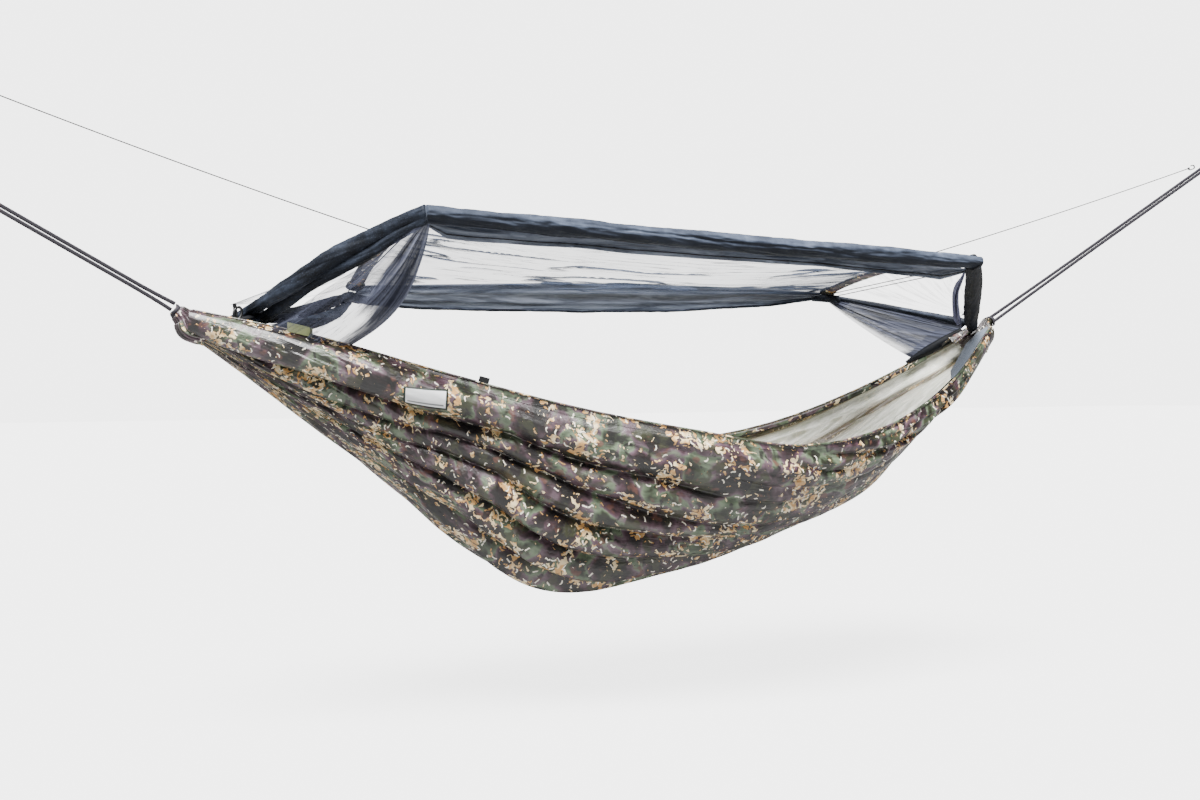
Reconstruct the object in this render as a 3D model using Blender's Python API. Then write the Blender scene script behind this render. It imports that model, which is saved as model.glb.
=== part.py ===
"""Camping hammock: a gathered-end bed of two cloth layers between two webbing straps, under a
mosquito net canopy that two bowed spreader poles hold open. Both side walls of the net are unzipped.

Metres, +Z up, +X from the left anchor to the right one, +Y away from the rolled-up side of the net.
Everything is laid out from the middle of the bed's chord (x along the chord, z = 0 on it) and then
shifted, so that the origin is on the seat of the left carabiner, which holds the hammock up.
"""
import math

import bmesh
import bpy
from mathutils import Matrix, Vector

# Driving dimensions
CHORD = 2.24  # between the two gathers; 83% of the 2.7 m cut
STRAP_ANGLE = math.radians(30.1)
LEFT_REACH = 0.535  # gather to carabiner seat, along the strap
RIGHT_REACH = 1.06
EDGE_HALF_WIDTH = (0.022, 0.099, 0.180, 0.260, 0.321, 0.339, 0.290, 0.188, 0.022)
EDGE_HEIGHT = (0.003, -0.060, -0.146, -0.226, -0.284, -0.325, -0.284, -0.172, 0.001)
KEEL_HEIGHT = (-0.040, -0.246, -0.457, -0.645, -0.644, -0.591, -0.480, -0.269, -0.064)
BED_END = 1.085  # where the open trough stops and the gathers begin
CLOTH = 0.002
LAYER_GAP = 0.0012
BED_STEPS = 28
BED_TURNS = (90, 83, 74, 62, 48, 32, 16)  # closer together near the rim, which carries the zip

CANOPY_HALF = 0.345  # half the distance between the two long top edges
LEFT_POLE_X = -0.639
RIGHT_POLE_X = 0.783
LEFT_POLE_ENDS = (0.186, 0.071)  # heights of the near and the far end
RIGHT_POLE_ENDS = (0.126, 0.093)
LEFT_BOW = 0.044
RIGHT_BOW = 0.030
POLE_RADIUS = 0.00425
POLE_BORE = 0.0030
FERRULE_RADIUS = 0.0026
FERRULE_BORE = 0.0016
CORE_RADIUS = 0.0012
SLEEVE_BORE = 0.0066
SLEEVE_HALF = (0.020, 0.0085)
SLEEVE_REACH = 0.322
ROLL_RADIUS = 0.021
NET = 0.0015

STRAND_RADIUS = 0.005
CORD_RADIUS = 0.001
LEFT_CORD_ANGLE = math.radians(18.0)
RIGHT_CORD_ANGLE = math.radians(16.5)
LEFT_CORD = 0.90
RIGHT_CORD = 1.165
CORD_PASS = 0.026  # how far behind the strap a net cord ends, so that its hook hangs beside it

CARABINER = (0.080, 0.042, 0.006)  # length, width, thickness
CARABINER_BAR = 0.008
GATE_PIN_RADIUS = 0.001
GAP = 0.0003


def along(angle, side):
    """The direction of a strap or cord that climbs at angle, side -1 to the left, +1 to the right."""
    return Vector((side * math.cos(angle), 0, math.sin(angle)))


SEAT = Vector((-CHORD / 2, 0, 0)) + along(STRAP_ANGLE, -1) * LEFT_REACH


def row(x, y, z):
    return Vector((x, y, z)) - SEAT


def clear_scene():
    for obj in list(bpy.data.objects):
        bpy.data.objects.remove(obj, do_unlink=True)


def material(name, colour, roughness=0.7, metallic=0.0):
    made = bpy.data.materials.get(name)
    if made is None:
        made = bpy.data.materials.new(name)
        made.use_nodes = True
        shader = made.node_tree.nodes["Principled BSDF"]
        shader.inputs["Base Color"].default_value = (*colour, 1.0)
        shader.inputs["Roughness"].default_value = roughness
        shader.inputs["Metallic"].default_value = metallic
    return made


def camo():
    return material("camo_cloth", (0.16, 0.13, 0.09), 0.6)


def camo_inside():
    return material("camo_cloth_inside", (0.45, 0.44, 0.38), 0.7)


def netting():
    return material("navy_netting", (0.04, 0.05, 0.08), 0.6)


def webbing():
    return material("dark_webbing", (0.05, 0.045, 0.06), 0.8)


def olive_webbing():
    return material("olive_webbing", (0.16, 0.18, 0.09), 0.8)


def zip_black():
    return material("zip_black", (0.015, 0.015, 0.018), 0.5)


def steel():
    return material("steel", (0.45, 0.46, 0.48), 0.35, 1.0)


def alloy():
    return material("pole_alloy", (0.6, 0.61, 0.63), 0.4, 1.0)


def plastic():
    return material("black_plastic", (0.02, 0.02, 0.022), 0.45)


def shock_cord():
    return material("shock_cord", (0.1, 0.1, 0.11), 0.8)


def label_cloth():
    return material("label_cloth", (0.75, 0.75, 0.72), 0.7)


def mesh_object(name, points, faces, finish, origin=None):
    """A mesh from points in the row frame, with the object's origin where it is asked for."""
    origin = Vector((0, 0, 0)) if origin is None else origin
    mesh = bpy.data.meshes.new(name)
    mesh.from_pydata([tuple(Vector(p) - origin) for p in points], [], faces)
    mesh.materials.append(finish)
    shell = bmesh.new()
    shell.from_mesh(mesh)
    bmesh.ops.recalc_face_normals(shell, faces=shell.faces)
    shell.to_mesh(mesh)
    shell.free()
    obj = bpy.data.objects.new(name, mesh)
    obj.location = origin
    bpy.context.scene.collection.objects.link(obj)
    return obj


def smooth_value(values, t):
    """The Catmull-Rom curve through evenly spaced values, at t from -1 to 1."""
    last = len(values) - 1
    place = min(max((t + 1) / 2 * last, 0), last - 1e-9)
    i = int(place)
    f = place - i
    before = values[i - 1] if i > 0 else 2 * values[0] - values[1]
    after = values[i + 2] if i + 2 <= last else 2 * values[last] - values[last - 1]
    a, b = values[i], values[i + 1]
    bend = 2 * before - 5 * a + 4 * b - after
    turn = -before + 3 * a - 3 * b + after
    return 0.5 * (2 * a + (b - before) * f + bend * f * f + turn * f**3)


def bed_point(x, turn, inset=0.0):
    """A point of the bed's trough: turn runs from -90 degrees at the near edge, through the keel, to 90."""
    t = x / (CHORD / 2)
    half = smooth_value(EDGE_HALF_WIDTH, t) - inset
    edge = smooth_value(EDGE_HEIGHT, t)
    keel = smooth_value(KEEL_HEIGHT, t) + inset
    angle = math.radians(turn)
    return row(x, half * math.sin(angle), edge + (keel - edge) * math.cos(angle))


def slab(name, outer, inner, finish):
    """A closed sheet between two grids of points, outer and inner, of the same size."""
    rows, columns = len(outer), len(outer[0])
    points = [p for line in outer for p in line] + [p for line in inner for p in line]
    count = rows * columns

    def at(i, j, layer):
        return layer * count + i * columns + j

    faces = []
    for i in range(rows - 1):
        for j in range(columns - 1):
            faces.append((at(i, j, 0), at(i, j + 1, 0), at(i + 1, j + 1, 0), at(i + 1, j, 0)))
            faces.append((at(i, j, 1), at(i + 1, j, 1), at(i + 1, j + 1, 1), at(i, j + 1, 1)))
    for i in range(rows - 1):
        faces.append((at(i, 0, 0), at(i + 1, 0, 0), at(i + 1, 0, 1), at(i, 0, 1)))
        end = columns - 1
        faces.append((at(i + 1, end, 0), at(i, end, 0), at(i, end, 1), at(i + 1, end, 1)))
    for j in range(columns - 1):
        faces.append((at(0, j + 1, 0), at(0, j, 0), at(0, j, 1), at(0, j + 1, 1)))
        end = rows - 1
        faces.append((at(end, j, 0), at(end, j + 1, 0), at(end, j + 1, 1), at(end, j, 1)))
    return mesh_object(name, points, faces, finish)


def sheet(name, grid, thickness, finish):
    """A closed sheet made from one grid of points, thickened to both sides along its own normals."""
    rows, columns = len(grid), len(grid[0])

    def normal(i, j):
        across = grid[i][min(j + 1, columns - 1)] - grid[i][max(j - 1, 0)]
        down = grid[min(i + 1, rows - 1)][j] - grid[max(i - 1, 0)][j]
        return across.cross(down).normalized()

    half = thickness / 2
    outer = [[grid[i][j] + normal(i, j) * half for j in range(columns)] for i in range(rows)]
    inner = [[grid[i][j] - normal(i, j) * half for j in range(columns)] for i in range(rows)]
    return slab(name, inner, outer, finish)


def loft(name, rings, finish, smooth=True):
    """A closed body through rings of points, with flat ends."""
    sides = len(rings[0])
    points = [p for ring in rings for p in ring]
    faces = []
    for i in range(len(rings) - 1):
        for j in range(sides):
            a, b = i * sides + j, i * sides + (j + 1) % sides
            faces.append((a, b, b + sides, a + sides))
    faces.append(tuple(reversed(range(sides))))
    last = (len(rings) - 1) * sides
    faces.append(tuple(range(last, last + sides)))
    obj = mesh_object(name, points, faces, finish)
    if smooth:
        obj.data.shade_smooth()
        obj.data.set_sharp_from_angle(angle=math.radians(40))
    return obj


def ring(centre, a, b, sides):
    """Points round centre, on an ellipse with the half axes a and b."""
    turn = 2 * math.pi / sides
    return [centre + a * math.cos(k * turn) + b * math.sin(k * turn) for k in range(sides)]


def tube(name, points, radius, finish, resolution=2):
    """A round cord or roll along points, as a bevelled curve with filled ends."""
    curve = bpy.data.curves.new(name, "CURVE")
    curve.dimensions = "3D"
    spline = curve.splines.new("POLY")
    spline.points.add(len(points) - 1)
    for target, p in zip(spline.points, points):
        target.co = (*p, 1.0)
    curve.bevel_depth = radius
    curve.bevel_resolution = resolution
    curve.use_fill_caps = True
    curve.materials.append(finish)
    obj = bpy.data.objects.new(name, curve)
    bpy.context.scene.collection.objects.link(obj)
    return obj


def route(points, count):
    """Evenly spread points on the Catmull-Rom curve through a few hand-set ones."""
    axes = [[p[k] for p in points] for k in range(3)]
    return [
        Vector([smooth_value(axis, -1 + 2 * i / (count - 1)) for axis in axes])
        for i in range(count)
    ]


def roll(name, points, radii, finish, sides=10):
    """A soft roll along points whose radius runs evenly through radii."""
    rings = []
    for i, p in enumerate(points):
        ahead = (points[min(i + 1, len(points) - 1)] - points[max(i - 1, 0)]).normalized()
        side = ahead.cross(Vector((0, 0, 1)))
        if side.length < 0.05:
            side = ahead.cross(Vector((0, 1, 0)))
        side.normalize()
        radius = smooth_value(radii, -1 + 2 * i / (len(points) - 1))
        rings.append(ring(p, side * radius, ahead.cross(side).normalized() * radius, sides))
    return loft(name, rings, finish)


# The bed
def make_bed():
    steps = [-BED_END + 2 * BED_END * i / BED_STEPS for i in range(BED_STEPS + 1)]
    turns = [-turn for turn in BED_TURNS] + [0] + list(reversed(BED_TURNS))
    deep = CLOTH + LAYER_GAP

    def grid(inset):
        return [[bed_point(x, turn, inset) for turn in turns] for x in steps]

    slab("bed_outer_layer", grid(0), grid(CLOTH), camo())
    slab("bed_inner_layer", grid(deep), grid(deep + CLOTH), camo_inside())


def make_gather(name, side):
    """The bunched end of the bed, from the trough's end to the face that the webbing leaves."""
    out = along(STRAP_ANGLE, side)
    up = Vector((-side * out.z, 0, abs(out.x)))
    wide = Vector((0, 1, 0))
    tip = row(side * CHORD / 2, 0, 0)
    inner_x = side * (BED_END + GAP)
    t = inner_x / (CHORD / 2)
    edge, keel = smooth_value(EDGE_HEIGHT, t), smooth_value(KEEL_HEIGHT, t)
    half = smooth_value(EDGE_HALF_WIDTH, t)
    middle = row(inner_x, 0, (edge + keel) / 2 + 0.004)
    high = Vector((0, 0, 1))
    rings = [
        ring(middle, wide * half, high * ((edge - keel) / 2 + 0.004), 16),
        ring((middle + tip) / 2 - high * 0.001, wide * half * 0.92, high * 0.026, 16),
        ring(tip + out * 0.002 - up * 0.003, wide * 0.020, up * 0.020, 16),
        ring(tip + out * 0.008 - up * 0.001, wide * 0.013, up * 0.0155, 16),
    ]
    loft(name, rings, camo())


def edge_frame(x, far):
    """A place on the bed's rim, the way along it, and the way out of the trough."""
    turn = 90 if far else -90
    here = bed_point(x, turn)
    ahead = (bed_point(x + 0.01, turn) - bed_point(x - 0.01, turn)).normalized()
    out = ahead.cross(Vector((0, 0, 1))).normalized() * (-1 if far else 1)
    return here, ahead, out


ZIP_STANDOFF = 0.0108  # tape's middle plane, inward of the rim's outer face
ZIP_TOP = 0.004  # tape's top below the rim
ZIP_HEIGHT = 0.014
ZIP_THICK = 0.0012


def zip_strip(name, far, low_x, high_x):
    steps = 52
    grid = []
    for i in range(steps + 1):
        here, _, out = edge_frame(low_x + (high_x - low_x) * i / steps, far)
        base = here - out * ZIP_STANDOFF - Vector((0, 0, ZIP_TOP))
        grid.append([base, base - Vector((0, 0, ZIP_HEIGHT))])
    sheet(name, grid, ZIP_THICK, zip_black())


def local(place, x_axis, z_axis):
    """A matrix that puts local x, y, z on x_axis, z_axis x x_axis and z_axis, at place."""
    x_axis = x_axis.normalized()
    z_axis = (z_axis - x_axis * z_axis.dot(x_axis)).normalized()
    y_axis = z_axis.cross(x_axis)
    turn = Matrix((x_axis, y_axis, z_axis)).transposed()
    return Matrix.Translation(place) @ turn.to_4x4()


def prism(name, outline, low, high, finish, matrix, origin=None):
    """An outline of (x, z) points, in the local x-z plane, extruded along local y from low to high."""
    count = len(outline)
    points = [Vector((x, low, z)) for x, z in outline] + [Vector((x, high, z)) for x, z in outline]
    faces = [tuple(range(count)), tuple(reversed(range(count, 2 * count)))]
    for k in range(count):
        n = (k + 1) % count
        faces.append((k, k + count, n + count, n))
    return mesh_object(name, [matrix @ p for p in points], faces, finish, origin)


def block(name, size, middle, finish, matrix, origin=None):
    """A box of that size round a local middle."""
    x, z = size[0] / 2, size[2] / 2
    outline = [
        (middle[0] - x, middle[2] - z),
        (middle[0] + x, middle[2] - z),
        (middle[0] + x, middle[2] + z),
        (middle[0] - x, middle[2] + z),
    ]
    low = middle[1] - size[1] / 2
    return prism(name, outline, low, low + size[1], finish, matrix, origin)


def cut(obj, cutter):
    """Take cutter out of obj, and keep it as a hidden guide."""
    cutter.hide_render = True
    cutter.display_type = "WIRE"
    modifier = obj.modifiers.new("cut", "BOOLEAN")
    modifier.operation = "DIFFERENCE"
    modifier.solver = "EXACT"
    modifier.object = cutter


def join_solid(obj, other):
    """Add a guide solid to obj, as one body."""
    other.hide_render = True
    other.display_type = "WIRE"
    modifier = obj.modifiers.new("join", "BOOLEAN")
    modifier.operation = "UNION"
    modifier.solver = "EXACT"
    modifier.object = other


def soften(obj, width):
    bevel = obj.modifiers.new("bevel", "BEVEL")
    bevel.width = width
    bevel.segments = 1
    bevel.limit_method = "ANGLE"


def circle(radius, sides, middle=(0, 0), start=0.0):
    step = 2 * math.pi / sides
    return [
        (middle[0] + radius * math.cos(start + k * step), middle[1] + radius * math.sin(start + k * step))
        for k in range(sides)
    ]


def arc(middle, radius, first, last, count):
    """Points on an arc, with the angles in degrees."""
    angles = [math.radians(first + (last - first) * k / (count - 1)) for k in range(count)]
    return [(middle[0] + radius * math.cos(a), middle[1] + radius * math.sin(a)) for a in angles]


SLIDER = (0.011, 0.0066, 0.0085)
SLIDER_SLOT = 0.0030
PULL = (0.020, 0.0012, 0.005)
PULL_STANDOFF = 0.0015  # clears the pull's root as it turns over


def make_zip(side_name, far, x, reach):
    """A slider over the tape's top edge, and its pull, hinged on the slider's inner face."""
    here, ahead, out = edge_frame(x, far)
    middle = here - out * ZIP_STANDOFF - Vector((0, 0, ZIP_TOP))
    matrix = local(middle, ahead, Vector((0, 0, 1)))
    into = -1 if far else 1  # local y that points into the trough
    if (matrix.to_3x3() @ Vector((0, 1, 0))).dot(out) > 0:
        into = -1
    slider = block(f"zip_slider_{side_name}", SLIDER, (0, 0, -0.0015), zip_black(), matrix, middle)
    slot = block(
        f"slot_{side_name}", (0.03, SLIDER_SLOT, 0.012), (0, 0, -0.0056), zip_black(), matrix
    )
    cut(slider, slot)
    soften(slider, 0.0006)
    hub = matrix @ Vector((0, into * (SLIDER[1] / 2 + PULL_STANDOFF), 0))
    pull_matrix = local(hub, ahead * reach, Vector((0, 0, 1)))
    pull = block(
        f"zip_pull_{side_name}", PULL, (PULL[0] / 2 - 0.0011, 0, 0), zip_black(), pull_matrix, hub
    )
    soften(pull, 0.0003)


def make_edge_loop():
    """A webbing loop along the near rim, sewn down at both ends and open between them."""
    length, height, stand = 0.052, 0.021, 0.008
    steps = 10
    grid = []
    for i in range(steps + 1):
        f = i / steps
        here, _, out = edge_frame(-0.867 + length * (f - 0.5), False)
        rise = min(1.0, 2.6 * math.sin(math.pi * f))
        base = here + out * (0.0016 + stand * rise)
        low = base - Vector((0, 0, 0.006))
        grid.append([low, low + Vector((0, 0, height))])
    sheet("edge_loop_near", grid, 0.0018, olive_webbing())


def make_edge_tab():
    here, ahead, _ = edge_frame(-0.478, False)
    tab = block(
        "edge_tab_near", (0.024, 0.003, 0.013), (0, 0, 0.0075), zip_black(),
        local(here, ahead, Vector((0, 0, 1))),
    )
    soften(tab, 0.0008)


def make_label():
    """A cloth label on the near face, just clear of the outer layer."""
    grid = []
    for i in range(5):
        x = -0.600 + 0.092 * (i / 4 - 0.5)
        grid.append([bed_point(x, turn, -0.0016) for turn in (-84, -80, -76, -72)])
    sheet("sewn_label", grid, 0.0006, label_cloth())


# The canopy
def edge_line(x, end):
    """The height of the near (end 0) or far (end 1) long edge of the canopy at x."""
    share = (x - LEFT_POLE_X) / (RIGHT_POLE_X - LEFT_POLE_X)
    return LEFT_POLE_ENDS[end] + (RIGHT_POLE_ENDS[end] - LEFT_POLE_ENDS[end]) * share


def pole_arc(pole_x, ends, bow):
    """The pole's arc, in its plane x = pole_x: its centre, radius, and the tilt of its chord."""
    rise = ends[1] - ends[0]
    half = math.hypot(CANOPY_HALF, rise / 2)
    radius = (half**2 + bow**2) / (2 * bow)
    tilt = math.atan2(rise, 2 * CANOPY_HALF)
    middle = row(pole_x, 0, (ends[0] + ends[1]) / 2)
    normal = Vector((0, -math.sin(tilt), math.cos(tilt)))
    return middle - normal * (radius - bow), radius, tilt


def arc_place(shape, reach):
    """A place on a pole's arc, reach metres towards +Y from its top, and the way outwards there."""
    centre, radius, tilt = shape
    angle = tilt - reach / radius
    out = Vector((0, -math.sin(angle), math.cos(angle)))
    return centre + out * radius, out


def pipe(name, shape, low, high, outside, bore, finish, steps, sides=10):
    """A hollow tube along a pole's arc, open at both ends. outside is its half width and half height."""
    wide = Vector((1, 0, 0))
    turn = 2 * math.pi / sides
    points = []
    for i in range(steps + 1):
        place, out = arc_place(shape, low + (high - low) * i / steps)
        for half_x, half_z in (outside, (bore, bore)):
            for k in range(sides):
                points.append(
                    place + wide * half_x * math.cos(k * turn) + out * half_z * math.sin(k * turn)
                )
    faces = []
    for i in range(steps):
        for k in range(sides):
            n = (k + 1) % sides
            a, b = i * 2 * sides, (i + 1) * 2 * sides
            faces.append((a + n, a + k, b + k, b + n))
            faces.append((a + sides + k, a + sides + n, b + sides + n, b + sides + k))
    for i, flip in ((0, False), (steps, True)):
        for k in range(sides):
            n = (k + 1) % sides
            a = i * 2 * sides
            face = (a + k, a + n, a + sides + n, a + sides + k)
            faces.append(tuple(reversed(face)) if flip else face)
    obj = mesh_object(name, points, faces, finish)
    obj.data.shade_smooth()
    obj.data.set_sharp_from_angle(angle=math.radians(40))
    return obj


def rod(name, shape, low, high, radius, finish, steps, sides=8):
    rings = []
    for i in range(steps + 1):
        place, out = arc_place(shape, low + (high - low) * i / steps)
        rings.append(ring(place, Vector((radius, 0, 0)), out * -radius, sides))
    return loft(name, rings, finish)


def make_pole(side_name, shape):
    """A two-piece spreader pole on its shock cord, with a ferrule at the middle and a tip at each end."""
    reach = SLEEVE_REACH - 0.008
    outside = (POLE_RADIUS, POLE_RADIUS)
    pipe(f"pole_{side_name}_near_section", shape, -reach, -GAP, outside, POLE_BORE, alloy(), 6)
    pipe(f"pole_{side_name}_far_section", shape, GAP, reach, outside, POLE_BORE, alloy(), 6)
    ferrule = (FERRULE_RADIUS, FERRULE_RADIUS)
    pipe(f"pole_{side_name}_ferrule", shape, -0.05, 0.05, ferrule, FERRULE_BORE, alloy(), 2)
    inner = reach - 0.012
    rod(f"pole_{side_name}_shock_cord", shape, -inner, inner, CORE_RADIUS, shock_cord(), 12, 6)
    for end, sign in (("near", -1), ("far", 1)):
        start = sign * (reach + GAP)
        low, high = sorted((start, start + sign * 0.006))
        rod(f"pole_{side_name}_{end}_tip", shape, low, high, POLE_RADIUS * 1.1, plastic(), 1, 10)


def make_sleeve(side_name, shape):
    pipe(
        f"pole_sleeve_{side_name}", shape, -SLEEVE_REACH, SLEEVE_REACH,
        SLEEVE_HALF, SLEEVE_BORE, camo(), 12, 12,
    )


def canopy_height(x, y):
    """The top panel: taut between the long edges and the bowed poles, slack in the middle."""
    share = (x - LEFT_POLE_X) / (RIGHT_POLE_X - LEFT_POLE_X)
    near, far = edge_line(x, 0), edge_line(x, 1)
    flat = near + (far - near) * (y + CANOPY_HALF) / (2 * CANOPY_HALF)
    bow = LEFT_BOW + (RIGHT_BOW - LEFT_BOW) * share - 0.20 * share * (1 - share)
    return flat + bow * (1 - (y / CANOPY_HALF) ** 2)


def make_top_panel():
    inset_x, reach_y = SLEEVE_HALF[0] + 0.004, CANOPY_HALF - 0.030
    grid = []
    for i in range(13):
        x = LEFT_POLE_X + inset_x + (RIGHT_POLE_X - LEFT_POLE_X - 2 * inset_x) * i / 12
        ys = [-reach_y + 2 * reach_y * j / 8 for j in range(9)]
        grid.append([row(x, y, canopy_height(x, y)) for y in ys])
    sheet("net_top_panel", grid, NET, netting())


def make_far_band():
    """The far wall of the net, folded up into a band along the far top edge."""
    grid = []
    for i in range(11):
        x = LEFT_POLE_X + 0.032 + (RIGHT_POLE_X - LEFT_POLE_X - 0.064) * i / 10
        line = edge_line(x, 1)
        grid.append([row(x, CANOPY_HALF, line + dz) for dz in (0.020, -0.010, -0.042)])
    sheet("net_band_far", grid, 0.005, netting())


def make_near_roll():
    """The near wall of the net, rolled up along the near top edge."""
    ends = [
        row(x, -CANOPY_HALF - 0.004, edge_line(x, 0))
        for x in (LEFT_POLE_X + 0.004, LEFT_POLE_X + 0.4, 0.25, RIGHT_POLE_X - 0.004)
    ]
    radii = (ROLL_RADIUS * 0.9, ROLL_RADIUS, ROLL_RADIUS * 1.1, ROLL_RADIUS)
    roll("net_roll_near", route(ends, 14), radii, netting())


def make_near_hem():
    """The unzipped half of the near zip, with its hem of net, hanging inside the roll."""
    grid = []
    for i in range(11):
        x = LEFT_POLE_X + 0.03 + (RIGHT_POLE_X - LEFT_POLE_X - 0.06) * i / 10
        line = edge_line(x, 0)
        grid.append([row(x, -CANOPY_HALF + 0.024, line - 0.012 - dz) for dz in (0, 0.020)])
    sheet("net_hem_near", grid, 0.002, netting())


def make_bundles():
    """The gathered ends of the net's side walls, from the canopy's corners down to the gathers."""
    bundles = {
        "net_roll_left": (
            ((-0.671, -0.349, 0.181), (-0.735, -0.275, 0.147), (-0.822, -0.200, 0.097),
             (-0.891, -0.135, 0.053), (-0.965, -0.068, 0.022)),
            (0.017, 0.017, 0.016, 0.013, 0.009),
        ),
        "net_bundle_left": (
            ((-0.666, -0.312, 0.142), (-0.749, -0.246, 0.097), (-0.850, -0.166, 0.034),
             (-0.922, -0.105, -0.001)),
            (0.011, 0.013, 0.013, 0.010),
        ),
        "net_bundle_far_left": (
            ((-0.675, 0.318, 0.050), (-0.741, 0.210, 0.036), (-0.840, 0.090, 0.009),
             (-0.930, 0.022, 0.002)),
            (0.011, 0.016, 0.016, 0.010),
        ),
        "net_roll_right": (
            ((0.815, -0.349, 0.117), (0.881, -0.250, 0.082), (0.972, -0.135, 0.041),
             (1.030, -0.055, 0.020)),
            (0.022, 0.025, 0.023, 0.014),
        ),
        "net_bundle_far_right": (
            ((0.817, 0.322, 0.073), (0.862, 0.255, 0.047), (0.934, 0.170, 0.004),
             (1.005, 0.090, -0.012), (1.050, 0.034, 0.004)),
            (0.012, 0.020, 0.024, 0.021, 0.011),
        ),
    }
    for name, (places, radii) in bundles.items():
        roll(name, route([row(*place) for place in places], 9), radii, netting())


def make_end_panel(name, pole_x, shape, side):
    """The netting end, a triangle from the spreader pole to the gather."""
    tip = row(side * 1.050, 0, 0.046)
    grid = []
    for i in range(6):
        f = i / 5
        line = []
        for j in range(7):
            reach = (SLEEVE_REACH - 0.030) * (2 * j / 6 - 1)
            start, _ = arc_place(shape, reach)
            start = start + Vector((side * (SLEEVE_HALF[0] + 0.004), 0, 0))
            goal = tip + Vector((0, 0.012 * (2 * j / 6 - 1), 0))
            sag = Vector((0, 0, -0.015 * math.sin(math.pi * f)))
            line.append(start.lerp(goal, f) + sag)
        grid.append(line)
    sheet(name, grid, NET, netting())


def make_drape():
    """The loose end of the near wall, from the near left corner down to the bed's rim."""
    upper = [row(-0.668, -0.306, 0.118), row(-0.735, -0.240, 0.070), row(-0.800, -0.175, 0.010)]
    lower = [row(-0.648, -0.318, 0.126), row(-0.678, -0.262, 0.030), row(-0.770, -0.170, -0.045)]
    grid = []
    for a, b in zip(route(upper, 7), route(lower, 7)):
        grid.append([a, (a + b) / 2 + Vector((0, -0.004, -0.006)), b])
    sheet("net_drape_left", grid, NET, netting())


# Straps, cords and hardware
def strand(name, side, upper, reach, spread_end):
    """One of a strap's two webbing strands, wider apart at the gather than at the carabiner."""
    out = along(STRAP_ANGLE, side)
    up = Vector((-side * out.z, 0, abs(out.x))) * (1 if upper else -1)
    start, stop = 0.008 + GAP, reach - 0.100 - GAP
    tip = row(side * CHORD / 2, 0, 0)
    count = 24
    points = []
    for i in range(count):
        s = start + (stop - start) * i / (count - 1)
        wide = 0.0030 * max(0.0, 1 - (s - start) / spread_end) ** 2
        points.append(tip + out * s + up * (0.0055 + wide))
    tube(name, points, STRAND_RADIUS, webbing())


def carabiner_frame(side, reach):
    out = along(STRAP_ANGLE, side)
    seat = row(side * CHORD / 2, 0, 0) + out * reach
    middle = seat - out * (CARABINER[0] / 2 - CARABINER_BAR)
    up = Vector((-side * out.z, 0, abs(out.x)))
    return local(middle, out, up)


def rounded(half_x, half_z, radius, count=4):
    """A rectangle with rounded corners, anticlockwise from the corner at +x, +z."""
    x, z = half_x - radius, half_z - radius
    points = []
    for cx, cz, first in ((x, z, 0), (-x, z, 90), (-x, -z, 180), (x, -z, 270)):
        points += arc((cx, cz), radius, first, first + 90, count)
    return points


GATE_HINGE = -0.016  # along the carabiner
GATE_NOSE = 0.019
TONGUE = 0.0024


def make_carabiner(side_name, side, reach):
    """A flat-sided D with a spring gate on its upper limb. Its two ends have flat seats inside."""
    matrix = carabiner_frame(side, reach)
    half_x, half_z, thick = CARABINER[0] / 2, CARABINER[1] / 2, CARABINER[2]
    bar = CARABINER_BAR
    body = prism(
        f"carabiner_{side_name}", rounded(half_x, half_z, 0.012), -thick / 2, thick / 2, steel(), matrix
    )
    inside = prism(
        f"inside_{side_name}", rounded(half_x - bar, half_z - bar, 0.005, 3), -0.01, 0.01, steel(), matrix
    )
    cut(body, inside)
    limb = half_z - bar / 2
    mouth_low, mouth_high = GATE_HINGE + 0.0045, GATE_NOSE
    mouth = block(
        f"mouth_{side_name}", (mouth_high - mouth_low, 0.02, 0.012),
        ((mouth_low + mouth_high) / 2, 0, limb), steel(), matrix,
    )
    cut(body, mouth)
    fork = block(
        f"fork_{side_name}", (0.010, TONGUE + 2 * GAP, 0.012), (GATE_HINGE, 0, limb), steel(), matrix
    )
    cut(body, fork)
    hub = matrix @ Vector((GATE_HINGE, 0, limb))
    hub_matrix = local(hub, matrix.to_3x3() @ Vector((1, 0, 0)), matrix.to_3x3() @ Vector((0, 0, 1)))
    bore = prism(
        f"bore_{side_name}", circle(GATE_PIN_RADIUS + 0.00008, 16), -0.01, 0.01, steel(), hub_matrix
    )
    cut(body, bore)
    soften(body, 0.0006)

    length = GATE_NOSE - GATE_HINGE - 0.0006
    start = 0.0062  # far enough from the pin for its corner to turn past the mouth
    gate = block(
        f"gate_{side_name}", (length - start, 0.0052, bar - 0.001),
        ((length + start) / 2, 0, 0), steel(), hub_matrix, hub,
    )
    outline = arc((0, 0), 0.0032, 90, 270, 7) + [(0.0075, -0.0032), (0.0075, 0.0032)]
    tongue = prism(f"tongue_{side_name}", outline, -TONGUE / 2, TONGUE / 2, steel(), hub_matrix, hub)
    join_solid(gate, tongue)
    eye = prism(
        f"eye_{side_name}", circle(GATE_PIN_RADIUS + 0.00008, 16), -0.01, 0.01, steel(), hub_matrix
    )
    cut(gate, eye)
    prism(
        f"gate_pin_{side_name}", circle(GATE_PIN_RADIUS, 16), -thick / 2 + 0.0002, thick / 2 - 0.0002,
        steel(), hub_matrix,
    )


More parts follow.
